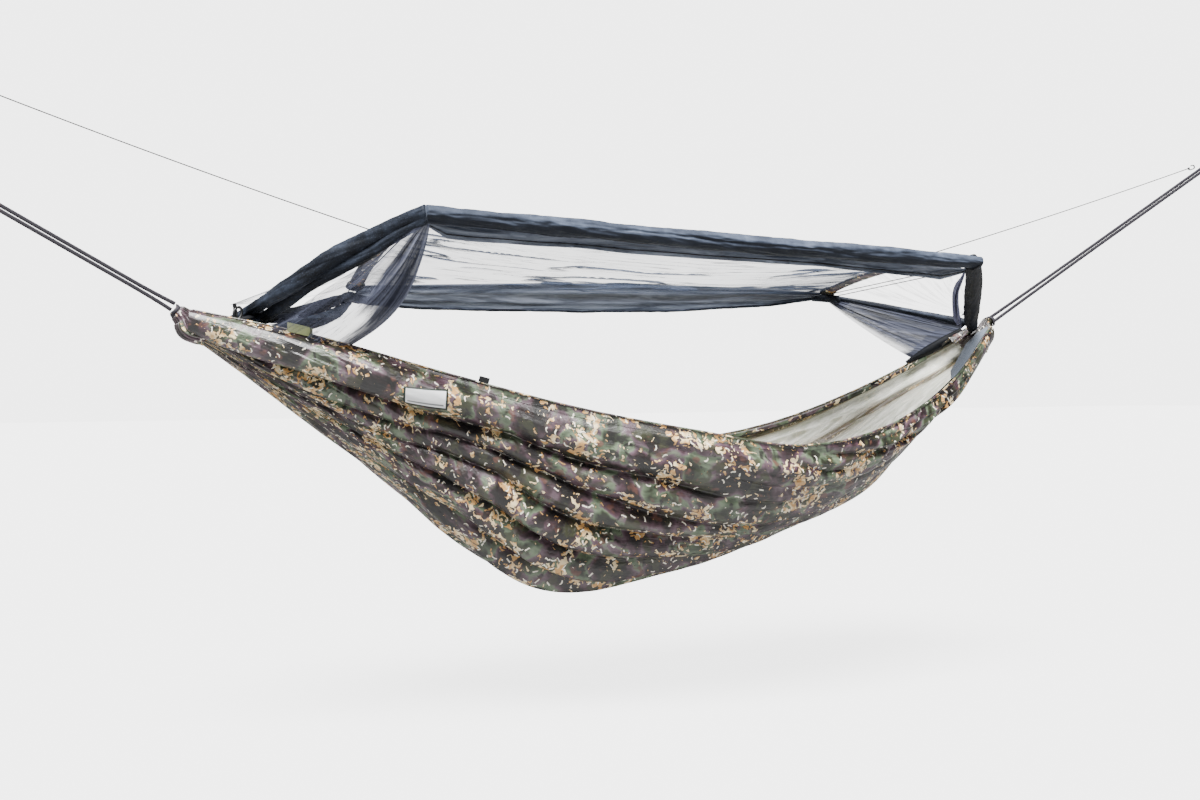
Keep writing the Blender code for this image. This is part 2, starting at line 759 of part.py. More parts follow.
def make_strap_loop(side_name, side, reach):
    """The sewn webbing loop round the carabiner's inner bar, which both strands are sewn to."""
    matrix = carabiner_frame(side, reach)
    tail, head = -0.068, -0.0260
    outer, inner, half = 0.0094, 0.0075, 0.006

    def stadium(low, high, radius):
        middle_low, middle_high = low + radius, high - radius
        first = arc((middle_low, 0), radius, 90, 270, 7)
        return first + arc((middle_high, 0), radius, -90, 90, 7)

    flat = matrix @ Matrix.Rotation(math.radians(90), 4, "X")
    loop = prism(f"strap_loop_{side_name}", stadium(tail, head, outer), -half, half, webbing(), flat)
    hole = prism(
        f"loop_hole_{side_name}", stadium(tail + 0.002, head - 0.002, inner), -0.02, 0.02, webbing(), flat
    )
    cut(loop, hole)


def cord_start(shape, side):
    place, _ = arc_place(shape, 0)
    return place + Vector((side * 0.014, 0, SLEEVE_HALF[1] + 0.004))


HOOK = 0.030
HOOK_SEAT = HOOK - 0.0035


def make_net_cord(side_name, side, shape, angle, length):
    """The taut cord that pulls a spreader pole up and outwards, from its tab to its hook."""
    out = (along(angle, side) * length + Vector((0, CORD_PASS, 0))).normalized()
    start = cord_start(shape, side)
    count = 36
    points = []
    for i in range(count):
        f = i / (count - 1)
        sag = Vector((0, 0, -0.006 * 4 * f * (1 - f)))
        points.append(start + out * length * f + sag)
    tube(f"net_cord_{side_name}", points, CORD_RADIUS, webbing())
    tab = block(
        f"cord_tab_{side_name}", (0.008, 0.012, 0.006), (-0.0042 - GAP, 0, 0), webbing(),
        local(start, Vector((side, 0, 0)), Vector((0, 0, 1))),
    )
    soften(tab, 0.0008)
    matrix = local(points[-1] + out * GAP, out, Vector((-side * out.z, 0, abs(out.x))))
    bend = HOOK - 0.007
    outline = [(0, -0.003), (0.008, -0.007)] + arc((bend, 0), 0.007, -90, 90, 7)
    outline += [(HOOK - 0.016, 0.007), (HOOK - 0.016, 0.004), (HOOK_SEAT, 0.004), (HOOK_SEAT, -0.004)]
    outline += [(0.007, -0.004), (0.007, 0.003), (0, 0.003)]
    prism(f"cord_hook_{side_name}", outline, -0.0015, 0.0015, steel(), matrix)


def main():
    clear_scene()
    make_bed()
    make_gather("gather_left", -1)
    make_gather("gather_right", 1)
    zip_strip("zip_tape_near", False, -1.020, 0.980)
    zip_strip("zip_tape_far", True, -0.980, 0.980)
    make_zip("near", False, -0.985, -1)
    make_zip("far", True, 0.845, 1)
    make_edge_loop()
    make_edge_tab()
    make_label()

    left = pole_arc(LEFT_POLE_X, LEFT_POLE_ENDS, LEFT_BOW)
    right = pole_arc(RIGHT_POLE_X, RIGHT_POLE_ENDS, RIGHT_BOW)
    make_sleeve("left", left)
    make_sleeve("right", right)
    make_pole("left", left)
    make_pole("right", right)
    make_top_panel()
    make_far_band()
    make_near_roll()
    make_near_hem()
    make_bundles()
    make_end_panel("net_end_left", LEFT_POLE_X, left, -1)
    make_end_panel("net_end_right", RIGHT_POLE_X, right, 1)
    make_drape()

    for side_name, side, reach, spread in (
        ("left", -1, LEFT_REACH, 0.10),
        ("right", 1, RIGHT_REACH, 0.45),
    ):
        strand(f"strap_{side_name}_upper", side, True, reach, spread)
        strand(f"strap_{side_name}_lower", side, False, reach, spread)
        make_strap_loop(side_name, side, reach)
        make_carabiner(side_name, side, reach)
    make_net_cord("left", -1, left, LEFT_CORD_ANGLE, LEFT_CORD)
    make_net_cord("right", 1, right, RIGHT_CORD_ANGLE, RIGHT_CORD)


main()
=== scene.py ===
"""Looks of the camping hammock: a gathered-end camouflage bed, a rolled-up mosquito net canopy on two
bowed spreader poles, webbing straps and net cords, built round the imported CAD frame.

Places are laid out as the CAD does: from the middle of the bed's chord (x along it, z = 0 on it),
then shifted by SEAT, so that the origin is on the seat of the left carabiner.
"""
import math

import bmesh
import bpy
import numpy as np
from mathutils import Matrix, Vector


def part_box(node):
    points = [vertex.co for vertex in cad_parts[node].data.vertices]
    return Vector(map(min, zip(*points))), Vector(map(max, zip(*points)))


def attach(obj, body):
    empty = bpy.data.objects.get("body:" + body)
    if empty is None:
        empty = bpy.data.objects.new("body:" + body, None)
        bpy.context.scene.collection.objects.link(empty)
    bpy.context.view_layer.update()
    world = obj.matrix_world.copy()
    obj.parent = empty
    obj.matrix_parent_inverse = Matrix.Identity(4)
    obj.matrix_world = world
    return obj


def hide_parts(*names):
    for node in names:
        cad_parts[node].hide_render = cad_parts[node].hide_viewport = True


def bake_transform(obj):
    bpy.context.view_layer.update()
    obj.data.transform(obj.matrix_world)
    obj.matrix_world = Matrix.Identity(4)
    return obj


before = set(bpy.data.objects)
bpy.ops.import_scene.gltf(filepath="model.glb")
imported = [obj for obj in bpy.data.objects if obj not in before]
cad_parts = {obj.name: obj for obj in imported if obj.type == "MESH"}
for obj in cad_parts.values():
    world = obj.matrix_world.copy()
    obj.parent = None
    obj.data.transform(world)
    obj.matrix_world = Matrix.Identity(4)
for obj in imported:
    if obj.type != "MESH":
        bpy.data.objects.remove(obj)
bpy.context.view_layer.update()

# The CAD's driving dimensions, in metres
CHORD = 2.24
STRAP_ANGLE = math.radians(30.1)
LEFT_REACH = 0.535
RIGHT_REACH = 1.06
EDGE_HALF_WIDTH = (0.022, 0.099, 0.18, 0.26, 0.321, 0.339, 0.29, 0.188, 0.022)
EDGE_HEIGHT = (0.003, -0.06, -0.146, -0.226, -0.284, -0.325, -0.284, -0.172, 0.001)
KEEL_HEIGHT = (-0.04, -0.246, -0.457, -0.645, -0.644, -0.591, -0.48, -0.269, -0.064)
BED_END = 1.095  # how far the bed's cloth reaches each way; the gathers take it over from there
CANOPY_HALF = 0.345
LEFT_POLE_X = -0.639
RIGHT_POLE_X = 0.783
LEFT_POLE_ENDS = (0.186, 0.071)
RIGHT_POLE_ENDS = (0.126, 0.093)
LEFT_BOW = 0.044
RIGHT_BOW = 0.03
SLEEVE_REACH = 0.322
CARABINER_LENGTH = 0.08
CARABINER_BAR = 0.008
SLEEVE_HALF_WIDTH = 0.0195
SLEEVE_HALF_HEIGHT = 0.0079
NET_CORD_DIAMETER = 0.0028
TOOTH_PITCH = 0.0017
STRAND_START = 0.0083  # from the gather's tip
LOOP_REACH = 0.1003  # from the strands' outer ends to the carabiner's seat
LABEL_X = -0.6
LABEL_LENGTH = 0.092

SEAT = np.array([-CHORD / 2 - LEFT_REACH * math.cos(STRAP_ANGLE), 0, LEFT_REACH * math.sin(STRAP_ANGLE)])
ALONG = np.array([1.0, 0.0, 0.0])
ACROSS = np.array([0.0, 1.0, 0.0])
UP = np.array([0.0, 0.0, 1.0])


def stacked(*parts):
    """Grids of points from their coordinates, which are spread to one shape."""
    return np.stack(np.broadcast_arrays(*parts), -1)


def row(x, y, z):
    """Points in the row frame, from places measured from the middle of the bed's chord."""
    return stacked(x, y, z).astype(float) - SEAT


def rows(*places):
    return [row(*place) for place in places]


def unit(v):
    return v / np.maximum(np.linalg.norm(v, axis=-1, keepdims=True), 1e-12)


def lattice(a, b):
    """Two grids with every pair of the values in a and b, a down the rows."""
    return np.meshgrid(a, b, indexing="ij")


def circle(count):
    return np.linspace(0, 2 * np.pi, count, endpoint=False)


def smooth_value(values, t):
    """The Catmull-Rom curve through evenly spaced values, at t from -1 to 1."""
    values = np.asarray(values, float)
    last = len(values) - 1
    padded = np.concatenate([[2 * values[0] - values[1]], values, [2 * values[-1] - values[-2]]])
    place = np.clip((np.asarray(t, float) + 1) / 2 * last, 0, last - 1e-9)
    i = place.astype(int)
    f = place - i
    before, a, b, after = padded[i], padded[i + 1], padded[i + 2], padded[i + 3]
    bend = 2 * before - 5 * a + 4 * b - after
    turn = -before + 3 * a - 3 * b + after
    return 0.5 * (2 * a + (b - before) * f + bend * f * f + turn * f**3)


def route(points, count):
    """count points on the smooth curve through a few given ones."""
    t = np.linspace(-1, 1, count)
    points = np.array(points, float)
    return np.stack([smooth_value(points[:, k], t) for k in range(3)], axis=1)


def value_noise(u, v, seed):
    """Smooth noise from -1 to 1, one cell per unit."""
    grid = np.random.default_rng(seed).random((61, 61)) * 2 - 1
    i, j = np.floor(u).astype(int), np.floor(v).astype(int)
    f, g = u - i, v - j
    f, g = f * f * (3 - 2 * f), g * g * (3 - 2 * g)

    def at(a, b):
        return grid[(i + a) % 61, (j + b) % 61]

    return (at(0, 0) * (1 - f) + at(1, 0) * f) * (1 - g) + (at(0, 1) * (1 - f) + at(1, 1) * f) * g


def fractal(u, v, seed, octaves=3):
    total = 0
    for k in range(octaves):
        total = total + value_noise(u * 2**k + 7.3 * k, v * 2**k + 3.1 * k, seed + k) / 2**k
    return total / 1.75


def step(value, low, high):
    """0 below low, 1 above high, smooth between them."""
    t = np.clip((value - low) / (high - low), 0, 1)
    return t * t * (3 - 2 * t)


# Mesh building
def lengths(points, axis):
    """How far along the grid lines each point lies, in metres."""
    d = np.linalg.norm(np.diff(points, axis=axis), axis=-1)
    zero = np.zeros_like(d[:1] if axis == 0 else d[:, :1])
    return np.concatenate([zero, np.cumsum(d, axis=axis)], axis=axis)


def join(piece, body, node=None):
    """Tell the body that a piece rides on, and the CAD node that it is drawn instead of."""
    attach(piece, body)
    if node:
        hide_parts(node)


def linked(name, data):
    made = bpy.data.objects.new(name, data)
    bpy.context.scene.collection.objects.link(made)
    return made


def mesh_from(name, points, faces, finish, cloth=None):
    mesh = bpy.data.meshes.new(name)
    mesh.from_pydata(points.reshape(-1, 3).tolist(), [], faces)
    mesh.materials.append(finish)
    if cloth is not None:
        made = mesh.attributes.new("cloth", "FLOAT_VECTOR", "POINT")
        made.data.foreach_set("vector", cloth.astype(np.float32).ravel())
    mesh.shade_smooth()
    return linked(name, mesh)


def grid_faces(rows, columns, closed=0):
    """Quads between the points of a grid; closed 1 joins its last column to the first, 2 its rows too."""
    i, j = lattice(np.arange(rows - (closed < 2)), np.arange(columns - (closed < 1)))
    below, beside = (i + 1) % rows, (j + 1) % columns
    quads = [i * columns + j, i * columns + beside, below * columns + beside, below * columns + j]
    return np.stack(quads, -1).reshape(-1, 4).tolist()


def thicken(piece, thickness, offset):
    solid = piece.modifiers.new("thickness", "SOLIDIFY")
    solid.thickness = thickness
    solid.offset = offset


def cloth_grid(name, points, finish, thickness=0.0, cloth=None):
    """A sheet from a grid of points, with cloth coordinates in metres along both its directions."""
    rows, columns = points.shape[:2]
    if cloth is None:
        across, middle = lengths(points, 1), [columns // 2]
        cloth = stacked(lengths(points, 0)[:, middle], across - across[:, middle], 0.0)
    made = mesh_from(name, points, grid_faces(rows, columns), finish, cloth)
    if thickness:
        thicken(made, thickness, 0)
    return made


def side_axes(path):
    """The way along a path at each point, and two axes across it, the second one nearest up."""
    ahead = unit(np.gradient(path, axis=0))
    side = unit(np.cross(ahead, UP))
    return ahead, side, np.cross(side, ahead)


def ovals(path, across, up, wide, high, angle):
    """An oval of points round each point of a path, wide along across and high along up."""
    across, up = np.reshape(across, (-1, 1, 3)), np.reshape(up, (-1, 1, 3))
    return path[:, None] + across * (wide * np.cos(angle))[..., None] + up * (high * np.sin(angle))[..., None]


def tube_grid(name, path, radius, finish):
    """A closed tube along path. radius is a grid (along, around), or a pair of such grids."""
    wide, high = radius if isinstance(radius, tuple) else (radius, radius)
    count, around = wide.shape
    angle = circle(around)
    points = ovals(path, *side_axes(path)[1:], wide, high, angle)
    cloth = stacked(lengths(path[:, None], 0), angle * wide.mean(), 0.0).reshape(-1, 3)
    faces = grid_faces(count, around, 1)
    for middle, base, order in ((count * around, 0, -1), (count * around + 1, (count - 1) * around, 1)):
        faces += [[middle, *(base + k, base + (k + 1) % around)[::order]] for k in range(around)]
    points = np.concatenate([points.reshape(-1, 3), points[[0, -1]].mean(1)])
    made = mesh_from(name, points, faces, finish, np.concatenate([cloth, cloth[[0, -1]]]))
    outward(made)
    return made


def outward(piece):
    """Turn a closed mesh's faces outwards."""
    shell = bmesh.new()
    shell.from_mesh(piece.data)
    bmesh.ops.recalc_face_normals(shell, faces=shell.faces)
    shell.to_mesh(piece.data)
    shell.free()


def boxes(name, centres, axes, sizes, finish):
    """Many small boxes as one mesh: axes holds three directions for each centre."""
    corner = np.array([[x, y, z] for x in (-1, 1) for y in (-1, 1) for z in (-1, 1)], float) / 2
    local = corner * np.asarray(sizes)
    points = centres[:, None] + np.einsum("ck,nkd->ncd", local, axes)
    quads = np.array([[0, 1, 3, 2], [4, 6, 7, 5], [0, 4, 5, 1], [2, 3, 7, 6], [0, 2, 6, 4], [1, 5, 7, 3]])
    faces = (np.arange(len(centres))[:, None, None] * 8 + quads).reshape(-1, 4).tolist()
    made = mesh_from(name, points, faces, finish)
    outward(made)
    return made


# Materials
def colour(code):
    """A linear colour from an sRGB hex code."""
    values = [int(code[k : k + 2], 16) / 255 for k in (0, 2, 4)]
    return (*[v / 12.92 if v <= 0.04045 else ((v + 0.055) / 1.055) ** 2.4 for v in values], 1.0)


class Shader:
    """A Principled material and short ways to add nodes to it."""

    def __init__(self, name):
        self.material = bpy.data.materials.new(name)
        self.material.use_nodes = True
        self.tree = self.material.node_tree
        self.surface = self.tree.nodes["Principled BSDF"]

    def node(self, kind, inputs=(), **settings):
        made = self.tree.nodes.new(kind)
        for key, value in settings.items():
            setattr(made, key, value)
        for key, value in dict(inputs).items():
            self.put(made.inputs[key], value)
        return made

    def put(self, socket, value):
        if isinstance(value, bpy.types.NodeSocket):
            self.tree.links.new(value, socket)
        else:
            socket.default_value = value

    def set(self, **values):
        for key, value in values.items():
            self.put(self.surface.inputs[key.replace("_", " ")], value)

    def cloth(self, scale=(1, 1, 1)):
        made = self.node("ShaderNodeAttribute", attribute_name="cloth").outputs["Vector"]
        return self.scaled(made, scale)

    def scaled(self, vector, scale):
        return self.node("ShaderNodeMapping", {"Vector": vector, "Scale": scale}).outputs["Vector"]

    def fold_share(self, cloth):
        """The third cloth coordinate, from 0 to 1: how folded a net is, or, inside the bed, its painted shade
        and its printed facing along the far rim.
        """
        return self.node("ShaderNodeSeparateXYZ", {"Vector": cloth}).outputs["Z"]

    def place(self, scale=(1, 1, 1)):
        made = self.node("ShaderNodeTexCoord").outputs["Object"]
        return self.scaled(made, scale)

    def noise(self, vector, scale, detail=2.0, roughness=0.5, distortion=0.0):
        inputs = {"Vector": vector, "Scale": scale, "Detail": detail, "Roughness": roughness}
        return self.node("ShaderNodeTexNoise", {**inputs, "Distortion": distortion}).outputs["Fac"]

    def math(self, operation, a, b=0.0):
        made = self.node("ShaderNodeMath", operation=operation)
        self.put(made.inputs[0], a)
        self.put(made.inputs[1], b)
        return made.outputs[0]

    def plus(self, a, b):
        return self.math("ADD", a, b)

    def minus(self, a, b):
        return self.math("SUBTRACT", a, b)

    def times(self, a, b):
        return self.math("MULTIPLY", a, b)

    def band(self, value, low, high, to=(0.0, 1.0)):
        inputs = {"Value": value, "From Min": low, "From Max": high, "To Min": to[0], "To Max": to[1]}
        return self.node("ShaderNodeMapRange", inputs).outputs["Result"]

    def mix(self, share, a, b):
        made = self.node("ShaderNodeMix", data_type="RGBA")
        self.put(made.inputs[0], share)
        self.put(made.inputs[6], a)
        self.put(made.inputs[7], b)
        return made.outputs[2]

    def ramp(self, value, stops):
        made = self.node("ShaderNodeValToRGB", {"Fac": value})
        line = made.color_ramp
        while len(line.elements) < len(stops):
            line.elements.new(0.5)
        for element, (place, code) in zip(line.elements, stops):
            element.position = place
            element.color = colour(code)
        return made.outputs["Color"]

    def bump(self, height, distance, strength=1.0):
        inputs = {"Height": height, "Distance": distance, "Strength": strength}
        self.set(Normal=self.node("ShaderNodeBump", inputs).outputs["Normal"])

    def away(self, value, middle):
        return self.math("ABSOLUTE", self.minus(value, middle))


def camouflage(name, pale):
    """Printed cloth: blurred brown and grey-green patches, tan blobs in clusters, small cream strokes."""
    m = Shader(name)
    place = m.cloth()
    patches = m.noise(place, 10.5, 3.0, 0.5, 0.5)
    base = m.ramp(patches, [
        (0.36, "090605"), (0.43, "1f1414"), (0.48, "463139"), (0.52, "604d56"), (0.56, "66745c"),
        (0.6, "4d5a45"), (0.65, "282d1e"), (0.71, "0e0f08"),
    ])
    for scale, detail, rough, bent, low, high, most, code in (
        (17.0, 3.0, 0.55, 0.4, 0.54, 0.6, 0.85, "31331f"),
        (24.0, 2.0, 0.5, 0.3, 0.62, 0.67, 0.8, "5c3a30"),
        (31.0, 2.0, 0.5, 0.6, 0.56, 0.63, 0.85, "15100e"),
    ):
        share = m.band(m.noise(place, scale, detail, rough, bent), low, high, (0.0, most))
        base = m.mix(share, base, colour(code))

    cluster = m.band(m.noise(place, 11.0, 2.0, 0.5, 0.4), 0.5, 0.6)
    limit = m.minus(0.69, m.times(cluster, 0.18))
    blob = m.minus(m.noise(place, 66.0, 1.5, 0.5, 0.9), limit)
    base = m.mix(m.band(blob, -0.035, -0.025, (0.0, 0.85)), base, colour("221712"))
    tan = m.mix(m.band(m.noise(place, 38.0, 2.0), 0.44, 0.58), colour("c8985a"), colour("f5deae"))
    base = m.mix(m.band(blob, -0.004, 0.004), base, tan)

    cells = m.node("ShaderNodeTexVoronoi", {"Vector": place, "Scale": 44.0, "Randomness": 0.9})
    pick = m.node("ShaderNodeSeparateColor", {"Color": cells.outputs["Color"]})
    from_centre = m.node("ShaderNodeVectorMath", operation="SUBTRACT")
    m.put(from_centre.inputs[0], place)
    m.put(from_centre.inputs[1], cells.outputs["Position"])
    turn = m.node("ShaderNodeVectorRotate", {"Vector": from_centre.outputs[0]}, rotation_type="Z_AXIS")
    m.put(turn.inputs["Angle"], m.times(pick.outputs[0], 6.283))
    stroke = m.node("ShaderNodeSeparateXYZ", {"Vector": turn.outputs[0]})
    run, off = stroke.outputs[0], stroke.outputs[1]
    bend = m.times(m.times(run, run), m.band(pick.outputs[1], 0, 1, (-90.0, 90.0)))
    off = m.away(off, bend)
    off = m.plus(off, m.times(m.minus(m.noise(place, 260.0, 1.0), 0.5), 0.003))
    inside = m.times(m.band(off, 0.0019, 0.0014), m.band(m.math("ABSOLUTE", run), 0.0066, 0.006))
    crowd = m.band(m.noise(place, 7.0, 1.0), 0.35, 0.65, (0.9, 0.66))
    crowd = m.minus(crowd, m.times(cluster, 0.3))
    kept = m.math("GREATER_THAN", pick.outputs[2], crowd)
    cream = m.times(inside, kept)
    base = m.mix(cream, base, colour("fbf4e2"))
    if pale:
        shade = m.fold_share(m.cloth())
        # The reverse is a pale print; worn here holds that pale colour, made paler still to stand in for light
        # shining through the cloth: real colour and painted light.
        worn = m.mix(m.band(m.noise(place, 26.0, 3.0), 0.42, 0.6), colour("f0efe4"), colour("d3d5c4"))
        pale_side = m.mix(0.86, base, worn)
        # shaded is the darker colour for the painted shade inside the bed, and for the printed facing along its
        # far rim.
        shaded = m.mix(0.5, base, colour("6f6648"))
        base = m.mix(shade, pale_side, shaded)
    m.set(Base_Color=base, Roughness=0.42, Specular_IOR_Level=0.8, Sheen_Weight=0.08, Sheen_Roughness=0.4,
          Sheen_Tint=colour("c9c0cc"))
    crinkle = m.noise(m.cloth((10, 36, 1)), 1.0, 4.0, 0.62, 0.8)
    puckers = m.noise(m.cloth((34, 60, 1)), 1.0, 3.0, 0.55, 0.5)
    weave = m.noise(place, 900.0, 1.0)
    height = m.plus(crinkle, m.times(puckers, 0.35))
    height = m.plus(height, m.times(weave, 0.04))
    m.bump(height, 0.006, 0.6)
    return m.material


def net_material(name, thin, thick, code="192134", pale="56637e", grain=0.25):
    """Fine netting as the share of light it stops: thin where it is single, thick along its folds.

    The third cloth coordinate says how folded the net is, from 0 to 1.
    """
    m = Shader(name)
    place = m.cloth()
    fold = m.fold_share(place)
    streak = m.noise(m.cloth((2.6, 52, 1)), 1.0, 4.0, 0.62, 1.2)
    fine = m.band(m.away(streak, 0.5), 0.022, 0.004)
    where = m.band(m.noise(m.cloth((5, 14, 1)), 1.0, 2.0), 0.38, 0.56)
    crease = m.times(fine, where)
    threads = m.noise(place, 1300.0, 1.0)
    tone = m.mix(m.band(streak, 0.4, 0.66), colour(code), colour(pale))
    m.set(Base_Color=tone, Roughness=0.6, Specular_IOR_Level=0.2, Sheen_Weight=0.12, Sheen_Roughness=0.45,
          Sheen_Tint=colour("a3b2d2"))
    share = m.band(m.plus(fold, m.times(crease, 0.55)), 0.0, 1.0, (thin, thick))
    share = m.times(share, m.band(threads, 0.3, 0.7, (1 - grain, 1 + grain)))
    m.set(Alpha=m.math("MINIMUM", share, 1.0))
    m.bump(m.plus(streak, m.times(threads, 0.2)), 0.003, 0.5)
    return m.material


def rolled_net(name, ramp=("070a0f", "151a23", "2d3441", "646c7c"), pale=0.36, sheen=0.26, underside_painted_shade=0.0):
    """Many layers of netting, opaque, with soft creases and a dull blue-grey sheen; the creases are painted
    darker and the underside can be painted in shade.
    """
    m = Shader(name)
    crease = m.noise(m.cloth((6, 18, 1)), 1.0, 2.5, 0.5, 1.0)
    mottle = m.noise(m.cloth(), 24.0, 3.0, 0.55)
    grain = m.noise(m.cloth(), 420.0, 2.0, 0.6)
    # The tone follows the same noise as the bump, so the creases are painted darker and the crests lighter:
    # painted shade and highlight over the layers' own tone.
    value = m.plus(m.times(crease, 0.5), m.times(mottle, 0.5))
    tone = m.ramp(value, list(zip((0.34, 0.48, 0.6, 0.74), ramp)))
    tone = m.mix(m.band(grain, 0.58, 0.74, (0.0, pale)), tone, colour("677087"))
    # Painted shade: surfaces that face down are darkened towards 0a0e16, the shade under the roll.
    if underside_painted_shade:
        facing = m.node("ShaderNodeNewGeometry").outputs["Normal"]
        upward = m.node("ShaderNodeSeparateXYZ", {"Vector": facing}).outputs["Z"]
        tone = m.mix(m.band(upward, 0.35, -0.25, (0.0, underside_painted_shade)), tone, colour("0a0e16"))
    m.set(Base_Color=tone, Roughness=0.66, Specular_IOR_Level=0.2, Sheen_Weight=sheen, Sheen_Roughness=0.35,
          Sheen_Tint=colour("b2b9c8"))
    height = m.plus(crease, m.times(mottle, 0.6))
    m.bump(m.plus(height, m.times(grain, 0.1)), 0.006, 0.4)
    return m.material


def woven(name, code, light, pitch=0.0011, sheen=0.3, relief=0.6):
    """Webbing: rows of small ribs across its length."""
    m = Shader(name)
    place = m.cloth()
    bands = m.node("ShaderNodeSeparateXYZ", {"Vector": place})
    turn = 2 * math.pi / pitch
    ribs = m.math("SINE", m.times(bands.outputs["X"], turn))
    rows = m.math("SINE", m.times(bands.outputs["Y"], turn * 0.7))
    knit = m.times(ribs, rows)
    tone = m.mix(m.band(knit, -0.6, 0.9), colour(code), colour(light))
    worn = m.noise(place, 60.0, 3.0)
    tone = m.mix(m.band(worn, 0.55, 0.75, (0.0, 0.35)), tone, colour(light))
    m.set(Base_Color=tone, Roughness=0.72, Sheen_Weight=sheen)
    m.bump(knit, 0.0005, relief)
    return m.material


def moulded(name, code, roughness, metal=0.0):
    """Plastic or metal with slight mottling and wear in its gloss."""
    m = Shader(name)
    place = m.place()
    wear = m.noise(place, 180.0, 4.0, 0.6)
    grain = m.noise(m.place((1, 8, 1)), 400.0, 2.0)
    base = colour(code)
    worn = tuple(min(1.0, c * 1.35 + 0.01) for c in base[:3]) + (1.0,)
    m.set(Base_Color=m.mix(m.band(wear, 0.5, 0.75), base, worn), Metallic=metal)
    m.set(Roughness=m.band(wear, 0.2, 0.8, (roughness * 0.8, roughness * 1.25)))
    m.bump(grain, 0.0002, 0.3)
    return m.material


def label_material():
    """A blank woven label: white, with a thin dark frame and a plain bar. cloth runs 0 to 1 both ways."""
    m = Shader("label_weave")
    place = m.node("ShaderNodeSeparateXYZ", {"Vector": m.cloth()})
    x = m.away(place.outputs["X"], 0.5)
    y = m.away(place.outputs["Y"], 0.5)
    frame_share = m.math("MAXIMUM", m.band(x, 0.452, 0.458), m.band(y, 0.405, 0.42))
    bar = m.times(m.band(m.away(place.outputs["Y"], 0.22), 0.055, 0.0385), m.band(x, 0.415, 0.405))
    tone = m.mix(frame_share, colour("f4f5f6"), colour("1f2a22"))
    tone = m.mix(m.times(bar, 0.75), tone, colour("3a3d40"))
    threads = m.math("SINE", m.times(place.outputs["Y"], 260.0))
    m.set(Base_Color=tone, Roughness=0.5)
    m.bump(threads, 0.0002, 0.4)
    return m.material


CAMO = camouflage("camo_cloth", False)
CAMO_INSIDE = camouflage("camo_cloth_reverse", True)
NET_THIN = net_material("netting_thin", 0.14, 1.1)
NET_TOP = net_material("netting_top", 0.4, 1.1, "1c2536", "5c6780", 0.12)
NET_CLEAR = net_material("netting_clear", 0.05, 0.55)
NET_DRAPE = net_material("netting_drape", 0.34, 1.0, "2e313f", "666a7d", 0.03)
NET_STRIP = net_material("netting_strip", 0.95, 1.1, "45465c", "7a7b96", 0.03)
NET_FOLDED = net_material("netting_folded", 0.88, 1.0, "333a47", "8a92a2", 0.04)
NET_WEDGE = net_material("netting_wedge", 0.55, 1.02, "151823", "45495b", 0.04)
ROLLED = rolled_net("netting_rolled")
# Painted light and shade: the netting_rolled_lit copy is brighter, standing in for the sun on the near roll,
# with painted shade on its underside; the near-black copy below stands in for the shade that the far and end
# rolls lie in.
ROLLED_LIT = rolled_net("netting_rolled_lit", ("2c323d", "3c4351", "515a6b", "747d90"), 0.35, 0.3, 0.85)
ROLLED_PAINTED_SHADE = rolled_net("netting_rolled_painted_shade", ("010204", "04060c", "090d18", "1a2236"), 0.1, 0.04)
WEBBING = woven("dark_webbing", "15111a", "1f1a26", 0.0011, 0.06, 0.2)
OLIVE = woven("olive_webbing", "6f7748", "a2a878")
CORD = woven("net_cord", "020203", "08080a", 0.002, 0.0)
STEEL = moulded("steel", "8b8f95", 0.32, 1.0)
ALLOY = moulded("pole_alloy", "3a3d42", 0.38, 1.0)
PLASTIC = moulded("black_plastic", "111214", 0.42)
ZIP = moulded("zip_black", "0e0f11", 0.38)
ELASTIC = woven("shock_cord", "2a2b2f", "55585e")
THREAD = moulded("seam_thread", "191713", 0.6)
LABEL = label_material()
HEM_CLOTH = woven("grey_hem", "4b5462", "77818f", 0.0016)


# The bed. A crease is a line of (x, turn) places; turn is degrees from the keel, negative on the near side
LEFT_CREASES = (
    ((-1.12, -34), (-1.06, -40), (-0.98, -49), (-0.9, -57), (-0.8, -63), (-0.7, -67), (-0.57, -70.5),
     (-0.42, -74.5), (-0.24, -72.5), (-0.1, -70.5), (0.01, -66.5), (0.25, -58), (0.6, -46)),
    ((-1.12, -26), (-0.97, -37), (-0.86, -44), (-0.78, -50), (-0.69, -55), (-0.57, -63), (-0.45, -66),
     (-0.31, -65), (-0.18, -61), (-0.08, -55), (0.1, -48), (0.5, -36)),
    ((-1.12, -20), (-0.97, -28), (-0.86, -35), (-0.78, -41), (-0.69, -46), (-0.56, -54), (-0.44, -57),
     (-0.33, -53), (-0.17, -48), (0.0, -41), (0.4, -28)),
    ((-1.12, -13), (-0.97, -20), (-0.86, -26), (-0.77, -32), (-0.69, -36), (-0.56, -41), (-0.43, -42),
     (-0.33, -39), (-0.15, -33), (0.3, -18)),
    ((-1.12, -6), (-0.9, -13), (-0.75, -17), (-0.59, -20), (-0.51, -24), (-0.38, -24), (-0.2, -18),
     (0.3, -8)),
    ((-1.12, 2), (-0.8, 1), (-0.5, -3), (-0.2, 0), (0.3, 2)),
)
RIGHT_CREASES = (
    ((0.1, -70), (0.4, -74), (0.62, -72), (0.74, -64), (0.86, -50), (1.12, -30)),
    ((0.1, -52), (0.4, -57), (0.62, -56), (0.8, -45), (0.95, -32), (1.12, -20)),
    ((0.1, -34), (0.4, -40), (0.62, -38), (0.85, -26), (1.12, -10)),
    ((0.1, -12), (0.4, -18), (0.7, -16), (1.12, -2)),
)
